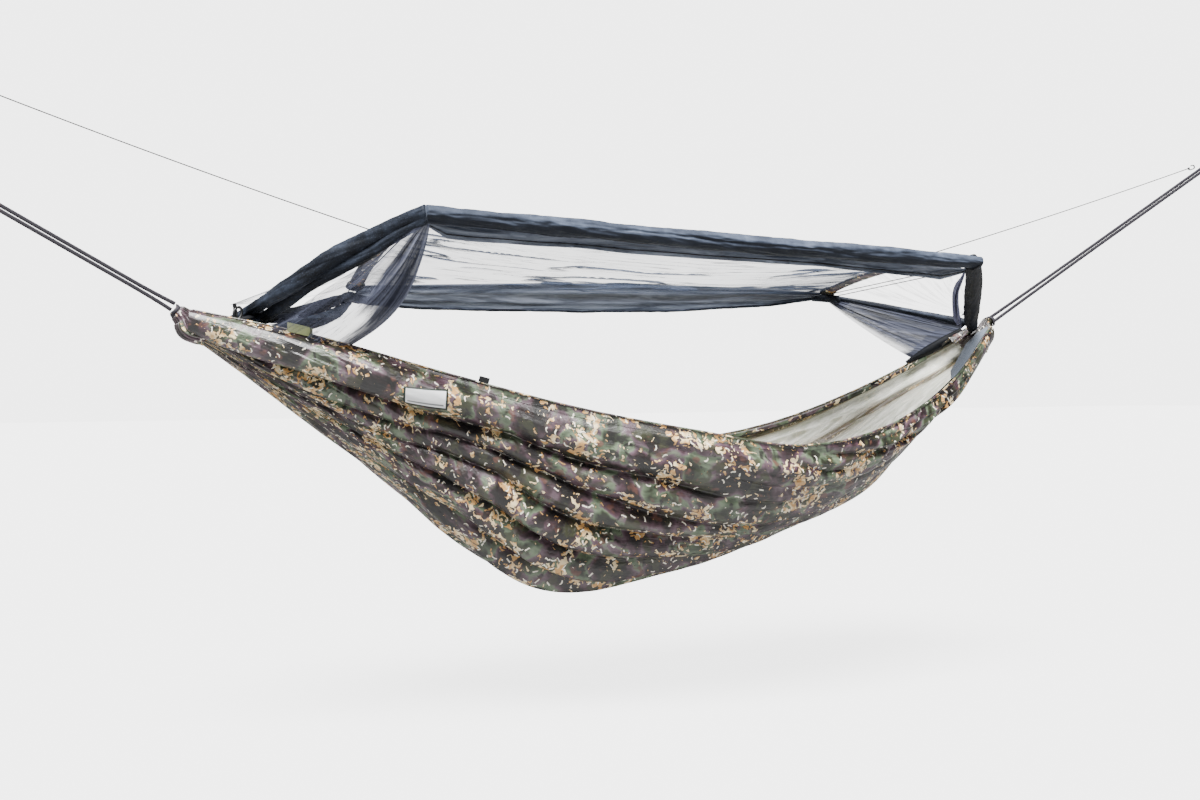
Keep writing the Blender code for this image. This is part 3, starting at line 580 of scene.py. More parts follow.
SHORT_CREASES = (  # the line, its depth, and how many degrees wide it is
    (((-0.72, -83), (-0.55, -84.5), (-0.43, -85.5), (-0.29, -84), (-0.15, -81), (0.0, -76.5),
      (0.12, -72), (0.3, -65), (0.45, -58)), 0.015, 3.5),
    (((-0.16, -85), (0.05, -80), (0.21, -76), (0.33, -69), (0.5, -60)), 0.011, 2.6),
    (((0.0, -87), (0.14, -84), (0.25, -81), (0.37, -74), (0.52, -66)), 0.009, 2.2),
    (((0.3, -86), (0.45, -80), (0.56, -72), (0.66, -62)), 0.008, 2.4),
    (((0.88, -88), (0.79, -76), (0.7, -64), (0.6, -55)), 0.012, 3.5),
    (((0.72, -86), (0.64, -76), (0.56, -66), (0.5, -54)), 0.008, 3.0),
    (((-0.52, -23), (-0.44, -23), (-0.33, -24), (-0.22, -27)), 0.006, 2.0),
    (((-0.95, -74), (-0.8, -77), (-0.66, -78), (-0.5, -79)), 0.004, 3.0),
    (((-0.1, -62), (0.08, -57), (0.22, -52), (0.4, -44)), 0.008, 3.0),
    (((-0.2, -52), (0.02, -46), (0.18, -38), (0.3, -30)), 0.007, 3.2),
)


def bed_shape(x, turn, inset=0.0):
    t = x / (CHORD / 2)
    half = smooth_value(EDGE_HALF_WIDTH, t) - inset
    edge = smooth_value(EDGE_HEIGHT, t)
    keel = smooth_value(KEEL_HEIGHT, t) + inset
    angle = np.radians(turn)
    return row(x, half * np.sin(angle), edge + (keel - edge) * np.cos(angle)), half, edge - keel


def crease_lines(creases, x):
    """The turn of each crease at x, on both sides of the keel, in order, with the rims at the ends."""
    lines = [np.interp(x, *zip(*crease)) for crease in creases]
    shifts = [3.0 * math.sin(5.0 * k + 1.0) for k in range(len(lines))]
    far = [-line + shift for line, shift in zip(lines, shifts) if line.mean() < -8]
    inner = sorted(lines + far, key=lambda line: line.mean())
    return [np.full_like(x, -90.0), *inner, np.full_like(x, 90.0)]


def ridges(x, turn, creases, swell, half, depth, seed):
    """How far the cloth stands out between creases: full ridges that meet in narrow slits."""
    edges = crease_lines(creases, x)
    narrow = np.interp(np.abs(x), (0.1, 0.5, 1.0), (1.1, 0.78, 0.52))
    out = np.zeros_like(x)
    for k, (low, high) in enumerate(zip(edges[:-1], edges[1:])):
        wide = np.maximum(high - low, 1.0)
        s = (turn - low) / wide
        middle = np.radians((low + high) / 2)
        span = np.radians(wide) * np.hypot(half * np.cos(middle), depth * np.sin(middle))
        uneven = 1 + 0.3 * value_noise(x * 3.0 + 9 * k, x * 0, seed)
        if k == 0 or k == len(edges) - 2:
            uneven = uneven + 0.5 * step(-x, 0.35, 0.75)
        ridge = np.where((s > 0) & (s < 1), np.clip(4 * s * (1 - s), 0, 1) ** narrow, 0)
        out += ridge * np.minimum(span, 0.11) * uneven
    whole = np.pi * (half + depth) / 2 / (len(edges) - 1)
    return swell * (out - 0.5 * np.minimum(whole, 0.11))


def short_creases(x, turn):
    """Soft valleys that run out on the cloth, each with a low ridge beside it."""
    out = np.zeros_like(x)
    for line, deep, wide in SHORT_CREASES:
        xs, turns = zip(*line)
        order = np.argsort(xs)
        at = np.interp(x, np.array(xs)[order], np.array(turns)[order])
        fade = step(x, min(xs), min(xs) + 0.1) * step(-x, -max(xs), -max(xs) + 0.12)
        off = (turn - at) / wide
        out += fade * deep * (0.55 * np.exp(-((off + 1.9) ** 2)) - np.exp(-np.abs(off) ** 1.3))
        mirrored = (turn + at * 0.97 - 2) / wide
        out -= 0.7 * fade * deep * np.exp(-np.abs(mirrored) ** 1.3)
    return out


def bed_surface(x, turn, inset=0.0, lift=0.0, sharp=1.0):
    """The bed's cloth over grids of x and turn, with its folds and wrinkles, lift metres outwards."""
    base, half, depth = bed_shape(x, turn, inset)
    normal = unit(np.cross(np.gradient(base, axis=1), np.gradient(base, axis=0)))
    left = np.interp(x, (-1.12, -0.9, -0.65, -0.45, -0.25, -0.05, 0.15, 0.45),
                     (0.36, 0.44, 0.46, 0.46, 0.44, 0.38, 0.28, 0.1))
    right = np.interp(x, (0.1, 0.35, 0.6, 0.8, 0.95, 1.12), (0, 0.1, 0.24, 0.3, 0.2, 0.12))
    move = ridges(x, turn, LEFT_CREASES, left, half, depth, 7)
    move = move + ridges(x, turn, RIGHT_CREASES, right, half, depth, 8)
    move = move * step(90 - np.abs(turn), 0, 6) + short_creases(x, turn) * step(90 - np.abs(turn), 0, 4)
    away = step(90 - np.abs(turn), 0, 9)
    slant = turn - 26 * x
    soft = fractal(x * 1.7 + 3, slant / 12.0, 11, 3) * 0.012
    fine = fractal(x * 5.0, slant / 4.0, 23, 3) * 0.0045
    small = fractal(x * 9.0 + 4, slant / 1.7, 29, 2) * 0.0016
    move = move + (soft + fine + small) * away * step(1.12 - np.abs(x), 0.0, 0.35)
    return base + normal * (move * sharp + lift)[..., None]


def bed_grid(nx, nt):
    spread = np.linspace(-1, 1, nt)
    turn = 90 * np.sign(spread) * (1 - (1 - np.abs(spread)) ** 1.15)
    return lattice(np.linspace(-BED_END, BED_END, nx), turn)


def bed_cloth(points, turn, shade=0.0):
    """Cloth coordinates measured down from both rims; the spare width is bunched towards the keel."""
    down, middle = lengths(points, 1), [points.shape[1] // 2]
    whole, keel = down[:, -1:], down[:, middle]
    half_cut = whole.max() / 2
    near = -half_cut + down + (half_cut - keel) * step(turn, -52, 0)
    far = half_cut - (whole - down) - (half_cut - (whole - keel)) * step(-turn, -52, 0)
    return stacked(lengths(points, 0)[:, middle], np.where(turn < 0, near, far), shade)


def make_bed():
    x, turn = bed_grid(440, 460)
    points = bed_surface(x, turn)
    outer = cloth_grid("bed_outer", points, CAMO, cloth=bed_cloth(points, turn))
    join(outer, "bed", "bed_outer_layer")
    x, turn = bed_grid(260, 220)
    points = bed_surface(x, turn * 0.997, inset=0.004, lift=-0.001, sharp=0.9)
    # The strip along the far rim is the printed camo facing; the rest of shade is painted shade.
    shade = np.clip(step(turn, 79, 82) + inner_shade(x, turn), 0, 1)
    inner = cloth_grid("bed_inner", points, CAMO_INSIDE, cloth=bed_cloth(points, turn, shade))
    join(inner, "bed", "bed_inner_layer")


def inner_shade(x, turn):
    """Painted shade inside the bed: a band where the two layers hang double along a fold, and a darker left
    end.
    """
    middle = np.interp(x, (0.2, 0.5, 0.8, 1.05), (52, 56, 50, 30))
    band = np.exp(-(((turn - middle) / 7.0) ** 2)) * step(x, 0.1, 0.4)
    left = step(-x, 0.0, 0.3) * 0.5
    return 1.5 * band + left


def rim_line(far, count, low=-1.09, high=1.09):
    x = np.linspace(low, high, count)
    turn = 90.0 if far else -90.0
    return bed_shape(x, np.full_like(x, turn))[0]


def make_hem(side_name, far):
    """The doubled hem along the rim, with a row of stitches below it on the outside."""
    path = rim_line(far, 260) + np.array([0, 0, -0.001])
    wobble = 1 + 0.12 * value_noise(np.arange(260)[:, None] * 0.5, np.arange(10)[None] * 0.9, 5)
    hem = tube_grid(f"rim_hem_{side_name}", path, 0.0026 * wobble, CAMO)
    join(hem, "bed")
    turn = (1 if far else -1) * np.array([88.0, 87.0, 86.0])
    line = bed_surface(*lattice(np.linspace(-1.05, 1.05, 620), turn), lift=0.001)[:, 1]
    axes = np.stack(side_axes(line), 1)
    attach(boxes(f"rim_stitches_{side_name}", line, axes, (0.0024, 0.0007, 0.0006), THREAD), "bed")


def make_gather(name, side):
    """The bunched cloth at one end, from the trough's end to the channel that the webbing leaves."""
    out = np.array([side * math.cos(STRAP_ANGLE), 0, math.sin(STRAP_ANGLE)])
    tip = row(side * CHORD / 2, 0, 0)
    x0 = side * 1.06
    _, half, depth = bed_shape(np.array([x0]), np.array([0.0]))
    edge = smooth_value(EDGE_HEIGHT, np.array([x0 / (CHORD / 2)]))[0]
    start = row(x0, 0, edge - depth[0] / 2 + 0.002)
    low, slim = (0.02, 0.9) if side < 0 else (0.006, 0.55)
    inside = np.array([-side * 0.014, 0, 0])
    sunk = UP * low
    waypoints = start, start * 0.45 + tip * 0.55 - sunk, tip + inside - sunk, tip + out * 0.007 - 0.3 * sunk
    path = route(waypoints, 40)
    share = np.linspace(0, 1, 40)[:, None]
    angle = circle(220)[None]
    pleat = np.abs(np.cos(angle * 10 + 2.6 * share + 0.9 * np.sin(3 * angle)))
    pleat = 0.84 + 0.2 * pleat**0.7 + 0.05 * fractal(angle * 3 + 5, share * 6, 31)
    at, waist = (0, 0.35, 0.65, 0.85, 1), 0.031 * slim**0.5
    wide = np.interp(share, at, (half[0] * 0.95, waist, 0.0225 * slim, 0.019 * slim, 0.0095))
    high = np.interp(share, at, (depth[0] * 0.49, waist, 0.0255 * slim, 0.022 * slim, 0.0105))
    gather = tube_grid(f"{name}_cloth", path, (wide * pleat, high * pleat), CAMO)
    join(gather, "bed", name)

    turns = circle(48)
    up = np.cross(out, ACROSS)
    middle = tip + out * 0.0035 - UP * 0.35 * low
    ring = middle + (ACROSS * np.cos(turns)[:, None] + up * np.sin(turns)[:, None]) * 0.0145
    ring = ring + out * (0.002 * np.sin(3 * turns))[:, None]
    make_ring(f"{name}_cinch", ring, out, 0.0042, 0.0016, WEBBING, "bed")


def make_ring(name, ring, axis, wide, thick, finish, body):
    """A closed band of webbing along a ring of points, wide along axis and thick across it."""
    angle = circle(12)
    points = ovals(ring, axis, unit(ring - ring.mean(0)), wide, thick, angle)
    turn = np.linspace(0, 0.09, len(ring))[:, None]
    cloth = stacked(turn, wide * np.cos(angle), 0.0)
    band = mesh_from(name, points, grid_faces(*points.shape[:2], 2), finish, cloth)
    outward(band)
    join(band, body)


def resampled(line, count):
    """count places spread evenly over a line of points."""
    at = np.linspace(0, len(line) - 1, count)
    return np.stack([np.interp(at, np.arange(len(line)), line[:, k]) for k in range(3)], 1)


def make_zip(side_name, far, low, high):
    """The bed's half of a zip: a tape inside the rim, with a row of coil teeth along its top on the near side
    and along its bottom on the far side.
    """
    count = 300
    line = rim_line(far, count, low, high)
    ahead = unit(np.gradient(line, axis=0))
    out = unit(np.cross(ahead, UP)) * (-1 if far else 1)
    top = line - out * 0.0108 - UP * 0.004
    drop = np.linspace(0, 0.014, 4)
    points = top[:, None] - UP * drop[None, :, None]
    tape = cloth_grid(f"zip_tape_{side_name}_woven", points, CAMO if far else ZIP, 0.0011)
    join(tape, "bed", f"zip_tape_{side_name}")
    run = lengths(top[:, None], 0)[-1, 0]
    teeth = int(run / TOOTH_PITCH)
    centre = resampled(points[:, -1] if far else top, teeth)
    axis = unit(resampled(ahead, teeth))
    side = unit(np.cross(axis, UP))
    axes = np.stack([axis, side, np.cross(side, axis)], 1)
    coil = boxes(f"zip_coil_{side_name}", centre, axes, (0.0009, 0.0026, 0.0022), ZIP)
    join(coil, "bed")


def make_label():
    x = LABEL_X + LABEL_LENGTH * np.linspace(-0.5, 0.5, 24)
    grid_x, grid_turn = lattice(x, np.linspace(-81.5, -73.5, 12))
    grid_turn = grid_turn - 2.2 * (grid_x - LABEL_X) / (LABEL_LENGTH / 2)
    points = bed_surface(grid_x, grid_turn, lift=0.0022)
    smooth = points.copy()
    smooth[1:-1, 1:-1] = (points[:-2, 1:-1] + points[2:, 1:-1] + points[1:-1, :-2] + points[1:-1, 2:]) / 4
    u, v = lattice(np.linspace(0, 1, 24), np.linspace(1, 0, 12))
    label = cloth_grid("label_patch", smooth, LABEL, 0.0008, stacked(u, v, 0 * u))
    join(label, "bed", "sewn_label")


# The canopy
def pole_arc(pole_x, ends, bow):
    rise = ends[1] - ends[0]
    half = math.hypot(CANOPY_HALF, rise / 2)
    radius = (half**2 + bow**2) / (2 * bow)
    tilt = math.atan2(rise, 2 * CANOPY_HALF)
    middle = row(pole_x, 0, (ends[0] + ends[1]) / 2)
    normal = np.array([0, -math.sin(tilt), math.cos(tilt)])
    return middle - normal * (radius - bow), radius, tilt


def arc_place(shape, reach):
    """Places on a pole's arc, reach metres towards +Y from its top, and the ways outwards there."""
    centre, radius, tilt = shape
    angle = tilt - np.asarray(reach, float) / radius
    out = stacked(np.zeros_like(angle), -np.sin(angle), np.cos(angle))
    return centre + out * radius, out


LEFT_ARC = pole_arc(LEFT_POLE_X, LEFT_POLE_ENDS, LEFT_BOW)
RIGHT_ARC = pole_arc(RIGHT_POLE_X, RIGHT_POLE_ENDS, RIGHT_BOW)


def edge_line(x, end):
    share = (x - LEFT_POLE_X) / (RIGHT_POLE_X - LEFT_POLE_X)
    return LEFT_POLE_ENDS[end] + (RIGHT_POLE_ENDS[end] - LEFT_POLE_ENDS[end]) * share


def canopy_height(x, y):
    share = (x - LEFT_POLE_X) / (RIGHT_POLE_X - LEFT_POLE_X)
    near, far = edge_line(x, 0), edge_line(x, 1)
    flat = near + (far - near) * (y + CANOPY_HALF) / (2 * CANOPY_HALF)
    bow = LEFT_BOW + (RIGHT_BOW - LEFT_BOW) * share - 0.2 * share * (1 - share)
    return flat + bow * (1 - (y / CANOPY_HALF) ** 2)


def make_top_panel():
    """The net between the poles, in tight long wrinkles along it."""
    x, y = lattice(
        np.linspace(LEFT_POLE_X + 0.01, RIGHT_POLE_X - 0.01, 280),
        np.linspace(-CANOPY_HALF + 0.004, CANOPY_HALF - 0.004, 320),
    )
    held = step(x, LEFT_POLE_X, LEFT_POLE_X + 0.1) * step(-x, -RIGHT_POLE_X, -RIGHT_POLE_X + 0.1)
    held = held * step(CANOPY_HALF - np.abs(y), 0, 0.05)
    drift = y + 0.03 * fractal(x * 2.0, y * 2.0, 41)
    line = fractal(x * 3.0, drift * 20, 43, 3)
    where = step(fractal(x * 3.4 + 2, y * 7, 47), -0.4, 0.15)
    crest = np.exp(-((line / 0.06) ** 2)) * where
    z = canopy_height(x, y) + held * (0.006 * crest + 0.005 * fractal(x * 2.5, y * 8, 45))
    toward_right = step(x, 0.15, RIGHT_POLE_X) * step(y, -0.3, 0.25)
    second = np.exp(-((fractal(x * 2.2 + 5, drift * 36, 57, 3) / 0.055) ** 2)) * step(x, -0.35, 0.25)
    bunched = toward_right * np.maximum(fractal(x * 4, drift * 26, 49), 0)
    fold = 0.8 * crest * held + 0.55 * second * held + 0.06 + 0.5 * toward_right + 0.3 * bunched
    fold = fold + 0.25 * step(y, CANOPY_HALF - 0.05, CANOPY_HALF)
    fold = fold + 0.15 * step(-y, CANOPY_HALF - 0.06, CANOPY_HALF)
    panel = cloth_grid("net_top", row(x, y, z), NET_TOP, cloth=stacked(x - LEFT_POLE_X, y, fold))
    join(panel, "canopy", "net_top_panel")


def make_sleeve(side_name, shape):
    """A camouflage sleeve, sewn flat along both sides, open at its ends for the pole, with end lashings."""
    reach = np.linspace(-SLEEVE_REACH, SLEEVE_REACH, 120)[:, None]
    place, out = arc_place(shape, reach[:, 0])
    angle = circle(48)
    pucker = 1 + 0.09 * fractal(reach * 40, angle[None] * 1.2 + 3, 51)
    wide = SLEEVE_HALF_WIDTH * (1 + 0.05 * fractal(reach * 25, angle[None] * 0, 53))
    points = ovals(place, ALONG, out, wide, SLEEVE_HALF_HEIGHT * pucker, angle)
    cloth = stacked(reach, angle * 0.014, 0.0)
    sleeve = mesh_from(f"sleeve_{side_name}", points, grid_faces(*points.shape[:2], 1), CAMO, cloth)
    outward(sleeve)
    thicken(sleeve, 0.001, -1)
    join(sleeve, "canopy", f"pole_sleeve_{side_name}")
    turns = circle(40)[:, None]
    for k, middle in enumerate((0.308, 0.3155, 0.323)):
        centre, rise = arc_place(shape, np.array([middle]))
        ring = centre + ALONG * 0.0214 * np.cos(turns) + rise * (0.0102 * np.sin(turns))
        make_ring(f"sleeve_lashing_{side_name}_{k + 1}", ring, ACROSS, 0.0042, 0.0026, ZIP, "canopy")


def net_roll(name, points, radii, seed, twist, around=64, count=180, squash=1.0, finish=ROLLED):
    """A soft roll of netting: uneven, with long spiral creases, dents and the sheet's free edge on it."""
    path = route(points, count)
    share = np.linspace(-1, 1, count)
    radius = smooth_value(radii, share)[:, None]
    angle = circle(around)[None]
    s = lengths(path[:, None], 0)
    swirl = angle + s * twist + 0.5 * fractal(s * 4, s * 0, seed + 9)
    flap = ((swirl + 1.2) % (2 * np.pi)) / (2 * np.pi)
    spiral = 0.13 * (flap - 0.5)
    second = -0.09 * np.exp(-((((swirl + 2.3) % (2 * np.pi)) - 3.5) / 0.2) ** 2)
    third = -0.07 * np.exp(-((((swirl + s * 6 + 4.1) % (2 * np.pi)) - 3.0) / 0.16) ** 2)
    around_x, around_y = np.cos(angle), np.sin(angle)
    lump = 0.16 * fractal(s * 11 + around_x, around_y * 1.4 + 4, seed)
    ripple = 0.07 * fractal(s * 26 + 1.3 * swirl, around_x * 2 + around_y * 3, seed + 3)
    thin = 0.018 * fractal(s * 16 + 2 * swirl, swirl * 4, seed + 5)
    shape = radius * (1 + spiral + second + third + lump + ripple + thin)
    return tube_grid(name, path, (shape, shape * squash), finish)


def make_near_roll():
    places = [
        row(x, -CANOPY_HALF - 0.004, edge_line(x, 0) - 0.004 * math.sin((x + 0.64) * 2.2))
        for x in (LEFT_POLE_X - 0.013, -0.3, 0.1, 0.45, RIGHT_POLE_X + 0.02)
    ]
    radii = (0.0185, 0.0205, 0.0212, 0.0205, 0.0155)
    # The near roll is drawn with the brighter, painted-light copy of the rolled netting.
    roll = net_roll("net_roll_along_edge", places, radii, 61, 1.6, count=420, finish=ROLLED_LIT)
    join(roll, "canopy", "net_roll_near")


def make_near_hem():
    """The net's half of the near zip, hanging below the roll, with its coil."""
    x = np.linspace(LEFT_POLE_X - 0.004, RIGHT_POLE_X - 0.004, 420)
    line = row(x, -CANOPY_HALF + 0.02, edge_line(x, 0) - 0.014)
    drop = np.linspace(0, 1, 8)
    tall = np.interp(x, (-0.64, -0.6, 0.7, 0.78), (0.3, 1, 1, 0.3)) * (0.03 + 0.006 * fractal(x * 4, x * 0, 73))
    points = line[:, None] - UP * (tall[:, None] * drop)[..., None]
    x = x[:, None]
    points[..., 1] += 0.006 * fractal(x * 11, drop[None] * 2, 71) * drop
    fold = 0.1 + 0.6 * step(fractal(x * 14, drop[None] * 3, 75), -0.1, 0.5) * drop
    hem = cloth_grid("net_hem_with_tape", points, NET_FOLDED, 0.0014, stacked(x, drop * 0.024, fold))
    join(hem, "canopy", "net_hem_near")
    add_coil("net_hem_coil", points[:, 5], "canopy", 760, (0.001, 0.0036, 0.0026))


def add_coil(name, line, body, teeth, sizes):
    """A row of zip teeth along a line of points."""
    centre = resampled(line, teeth)
    coil = boxes(name, centre, np.stack(side_axes(centre), 1), sizes, ZIP)
    join(coil, body)


def make_far_band():
    """The far wall of the net, folded up into a soft band with its zip hem along the bottom."""
    x = np.linspace(LEFT_POLE_X + 0.009, RIGHT_POLE_X - 0.009, 300)
    grid_x, grid_s = lattice(x, np.linspace(0, 1, 40))
    at = (-0.67, -0.6, -0.45, 0.0, 0.25, 0.6, RIGHT_POLE_X)
    tall = np.interp(grid_x, at, (0.02, 0.05, 0.066, 0.084, 0.074, 0.05, 0.014))
    tall = tall * (1 + 0.1 * fractal(grid_x * 3, grid_s * 0.3, 85))
    at = (-0.67, -0.6, -0.1, 0.1, 0.6, RIGHT_POLE_X)
    above = np.interp(grid_x, at, (0.004, 0.018, 0.028, 0.028, 0.018, 0.004))
    top = edge_line(grid_x, 1) + above
    z = top - grid_s * tall
    drift = grid_s * 6 + 1.5 * fractal(grid_x * 1.5, grid_s, 81)
    folds = 0.006 * np.abs(np.sin(drift * 1.6)) + 0.006 * fractal(grid_x * 4, grid_s * 3, 83)
    y = CANOPY_HALF - 0.004 + folds * np.sin(np.pi * np.clip(grid_s * 0.9 + 0.08, 0, 1))
    fold = 0.05 + 0.75 * step(grid_s, 0.55, 0.95) + 0.4 * np.abs(fractal(grid_x * 3, grid_s * 9, 89))
    cloth = stacked(grid_x, grid_s * 0.06, np.clip(fold, 0, 1))
    band = cloth_grid("net_band_folded", row(grid_x, y, z), NET_FOLDED, 0.003, cloth)
    join(band, "canopy", "net_band_far")
    bottom = row(x, y[:, -1], z[:, -1] + 0.002)
    hem_radius = 0.0036 * (1 + 0.35 * fractal(x[:, None] * 34, np.arange(14)[None] * 0.7, 87))
    hem = tube_grid("net_band_hem", bottom, hem_radius, ROLLED)
    join(hem, "canopy")


# Soft rolls from a canopy corner to a gather: places, radii, seed, how flat
BUNDLES = {
    "net_roll_left": (
        ((-0.648, -0.34, 0.194), (-0.728, -0.25, 0.152), (-0.817, -0.18, 0.102),
         (-0.888, -0.12, 0.05), (-0.926, -0.055, 0.022), (-0.964, 0.004, -0.003), (-1.008, 0.006, -0.026)),
        (0.015, 0.0185, 0.02, 0.0185, 0.015, 0.012, 0.008), 91, 1.0,
    ),
    "net_bundle_left": (
        ((-0.64, -0.345, 0.182), (-0.695, -0.29, 0.149), (-0.745, -0.235, 0.112), (-0.798, -0.185, 0.08),
         (-0.849, -0.133, 0.05), (-0.893, -0.066, 0.013), (-0.934, -0.002, -0.02), (-0.985, 0.01, -0.04)),
        (0.0095, 0.012, 0.0135, 0.014, 0.014, 0.013, 0.012, 0.009), 93, 1.0,
    ),
    "net_bundle_far_left": (
        ((-0.655, 0.333, 0.06), (-0.741, 0.2, 0.03), (-0.84, 0.085, -0.004),
         (-0.95, 0.01, -0.02), (-1.03, -0.005, -0.045)),
        (0.01, 0.019, 0.023, 0.018, 0.009), 95, 0.75,
    ),
    "net_roll_right": (
        ((0.783, -0.349, 0.128), (0.861, -0.255, 0.09), (0.941, -0.15, 0.047), (1.01, -0.055, 0.004),
         (1.045, -0.015, -0.022)),
        (0.02, 0.0215, 0.0215, 0.019, 0.013), 97, 1.0,
    ),
}


def bend_with(piece, node=None):
    """Bake the piece's place into its mesh, and hide the CAD node that it is drawn instead of."""
    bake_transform(piece)
    if node:
        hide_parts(node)


def make_bundles():
    for name, (places, radii, seed, squash) in BUNDLES.items():
        points = rows(*places)
        # The other bundles take the near-black copy that stands in for shade.
        finish = ROLLED if name in ("net_roll_left", "net_bundle_left") else ROLLED_PAINTED_SHADE
        bundle = net_roll(f"{name}_soft", points, radii, seed, 7.0, count=200, squash=squash, finish=finish)
        bend_with(bundle, name)
    corner = rows((-0.585, 0.338, 0.052), (-0.628, 0.326, 0.053), (-0.656, 0.304, 0.056), (-0.69, 0.262, 0.044))
    radii = (0.007, 0.0125, 0.0145, 0.01)
    knot = net_roll("net_corner_far_left", corner, radii, 105, 8.0, around=40, count=70)
    join(knot, "canopy")
    lower = rows((-0.655, 0.315, 0.044), (-0.725, 0.19, 0.004), (-0.815, 0.075, -0.026), (-0.95, 0.0, -0.05))
    strand = net_roll("net_bundle_far_left_lower", lower, (0.008, 0.0135, 0.015, 0.009), 103, 8.0)
    bend_with(strand)


def make_wedge():
    """The far wall's right end: a fan of net from the pole's far tip to the bed's far rim and gather."""
    apex = row(0.788, 0.338, 0.09)
    count, along_count = 150, 120
    v = np.linspace(0, 1, count)
    rim_x = np.interp(v, (0, 0.35, 1), (1.075, 1.045, 0.95))
    rim = bed_shape(rim_x, np.full(count, 90.0))[0]
    rim[:, 1] -= 0.012
    rim[:, 2] += 0.006 + np.interp(v, (0, 0.25, 1), (0.02, 0.01, -0.006))
    u, v_grid = lattice(np.linspace(0, 1, along_count), v)
    points = apex * (1 - u[..., None]) + rim[None] * u[..., None]
    spread = v_grid[..., None] * (1 - u[..., None]) * np.array([0.0, -0.004, -0.014])
    pleat = fractal(v_grid * 11, u * 1.2, 131, 3)
    deep = np.sin(np.pi * np.clip(u, 0, 1)) ** 0.7
    points = points + spread
    points[..., 1] += 0.014 * deep * pleat
    points[..., 2] += deep * (0.008 * pleat - 0.01 * v_grid)
    crease = np.exp(-((fractal(v_grid * 13, u * 1.0 + 3, 137, 3) / 0.14) ** 2))
    fold = 0.84 + 0.3 * step(-v_grid, -0.24, -0.12) + 0.2 * crease + 0.16 * pleat
    fold = fold + 0.6 * step(-u, -0.2, -0.05) + 0.9 * step(u, 0.86, 0.93)
    fold = np.clip(fold, 0.1, 1) * (1 - 0.95 * step(v_grid, 0.84, 0.95) * step(-u, -0.9, -0.8))
    cloth = stacked(u * 0.38, v_grid * 0.19 * (0.15 + u), fold)
    wedge = cloth_grid("net_wedge_far_right", points, NET_WEDGE, cloth=cloth)
    start, across = rim[0], unit(rim[-1] - rim[0])
    away = apex - start
    away = away - across * away.dot(across)
    bend_with(wedge, "net_bundle_far_right")
    top_edge = net_roll("net_wedge_top_edge", [points[0, 2], points[40, 2], points[80, 3], points[118, 3]],
                        (0.005, 0.0075, 0.009, 0.01), 139, 8.0, around=32, count=110)
    bend_with(top_edge)
    foot_x = np.array([0.925, 0.965, 1.01, 1.06])
    foot = bed_shape(foot_x, np.full(4, 90.0))[0] + np.array([0, -0.012, 0.01])
    radii = (0.004, 0.0115, 0.014, 0.011)
    # The foot takes the near-black copy that stands in for shade.
    roll = net_roll("net_wedge_foot", foot, radii, 141, 6.0, around=32, count=90, finish=ROLLED_PAINTED_SHADE)
    join(roll, "bed")
    ends = rows((0.735, 0.328, 0.078), (0.768, 0.312, 0.079), (0.812, 0.312, 0.078), (0.85, 0.305, 0.068))
    knot = net_roll("net_knot_far_right", ends, (0.006, 0.0115, 0.0105, 0.006), 145, 9.0, around=32, count=60)
    join(knot, "canopy")


def make_fold_strip():
    """A hanging fold of the near wall, beside the roll at the right end."""
    places = rows((0.79, -0.306, 0.104), (0.852, -0.192, 0.064), (0.94, -0.08, 0.014), (1.005, -0.01, -0.015))
    line = route(places, 100)
    f = np.linspace(0, 1, 100)
    half = np.interp(f, (0, 0.1, 0.3, 0.8, 1), (0.003, 0.009, 0.014, 0.018, 0.012))
    u, v = lattice(f, np.linspace(-1, 1, 26))
    side = unit(np.array([1.0, 0.35, 0.0]))
    points = line[:, None] + side * (half[:, None] * v)[..., None]
    points[..., 2] += 0.006 * np.sin(v * 5 + 3 * u) * np.sin(np.pi * u) + 0.004 * fractal(u * 9, v * 2, 143)
    fold = np.clip(0.55 + 0.5 * np.abs(fractal(u * 3, v * 4, 147)) + 0.4 * step(np.abs(v), 0.8, 1), 0, 1)
    strip = cloth_grid("net_fold_right", points, NET_STRIP, 0.0008, stacked(u * 0.4, v * 0.02, fold))
    bend_with(strip)


def make_rim_flap():
    """The near wall's grey hem, lying in over the near rim at the right end."""
    x = np.linspace(0.845, 1.078, 90)
    outer_edge = bed_shape(x, np.full_like(x, -90.0))[0] + np.array([0, 0.004, 0.003])
    wide = np.interp(x, (0.845, 0.88, 1.0, 1.05, 1.078), (0.006, 0.034, 0.05, 0.034, 0.012))
    s = np.linspace(0, 1, 16)
    points = outer_edge[:, None] + np.array([0, 1.0, 0.1]) * (wide[:, None] * s[None])[..., None]
    points[..., 2] += 0.004 * np.sin(np.pi * s)[None] + 0.0015 * fractal(x[:, None] * 12, s[None] * 3, 151)
    flap = cloth_grid("net_hem_right_end", points, HEM_CLOTH, 0.001)
    join(flap, "bed")


def make_tongue():
    """The loose end of the bed's inner hem, a short tongue of cloth inside the right gather."""
    u, v = lattice(np.linspace(0, 1, 30), np.linspace(-1, 1, 26))
    x = 1.072 - 0.078 * u
    y = 0.012 + 0.012 * u + v * (0.012 + 0.018 * u)
    z = -0.012 - 0.04 * u - 0.014 * v**2 * (0.4 + u) + 0.004 * np.sin(7 * v + 2 * u)
    tongue = cloth_grid("bed_tongue_right", row(x, y, z), CAMO, 0.0012)
    join(tongue, "bed")


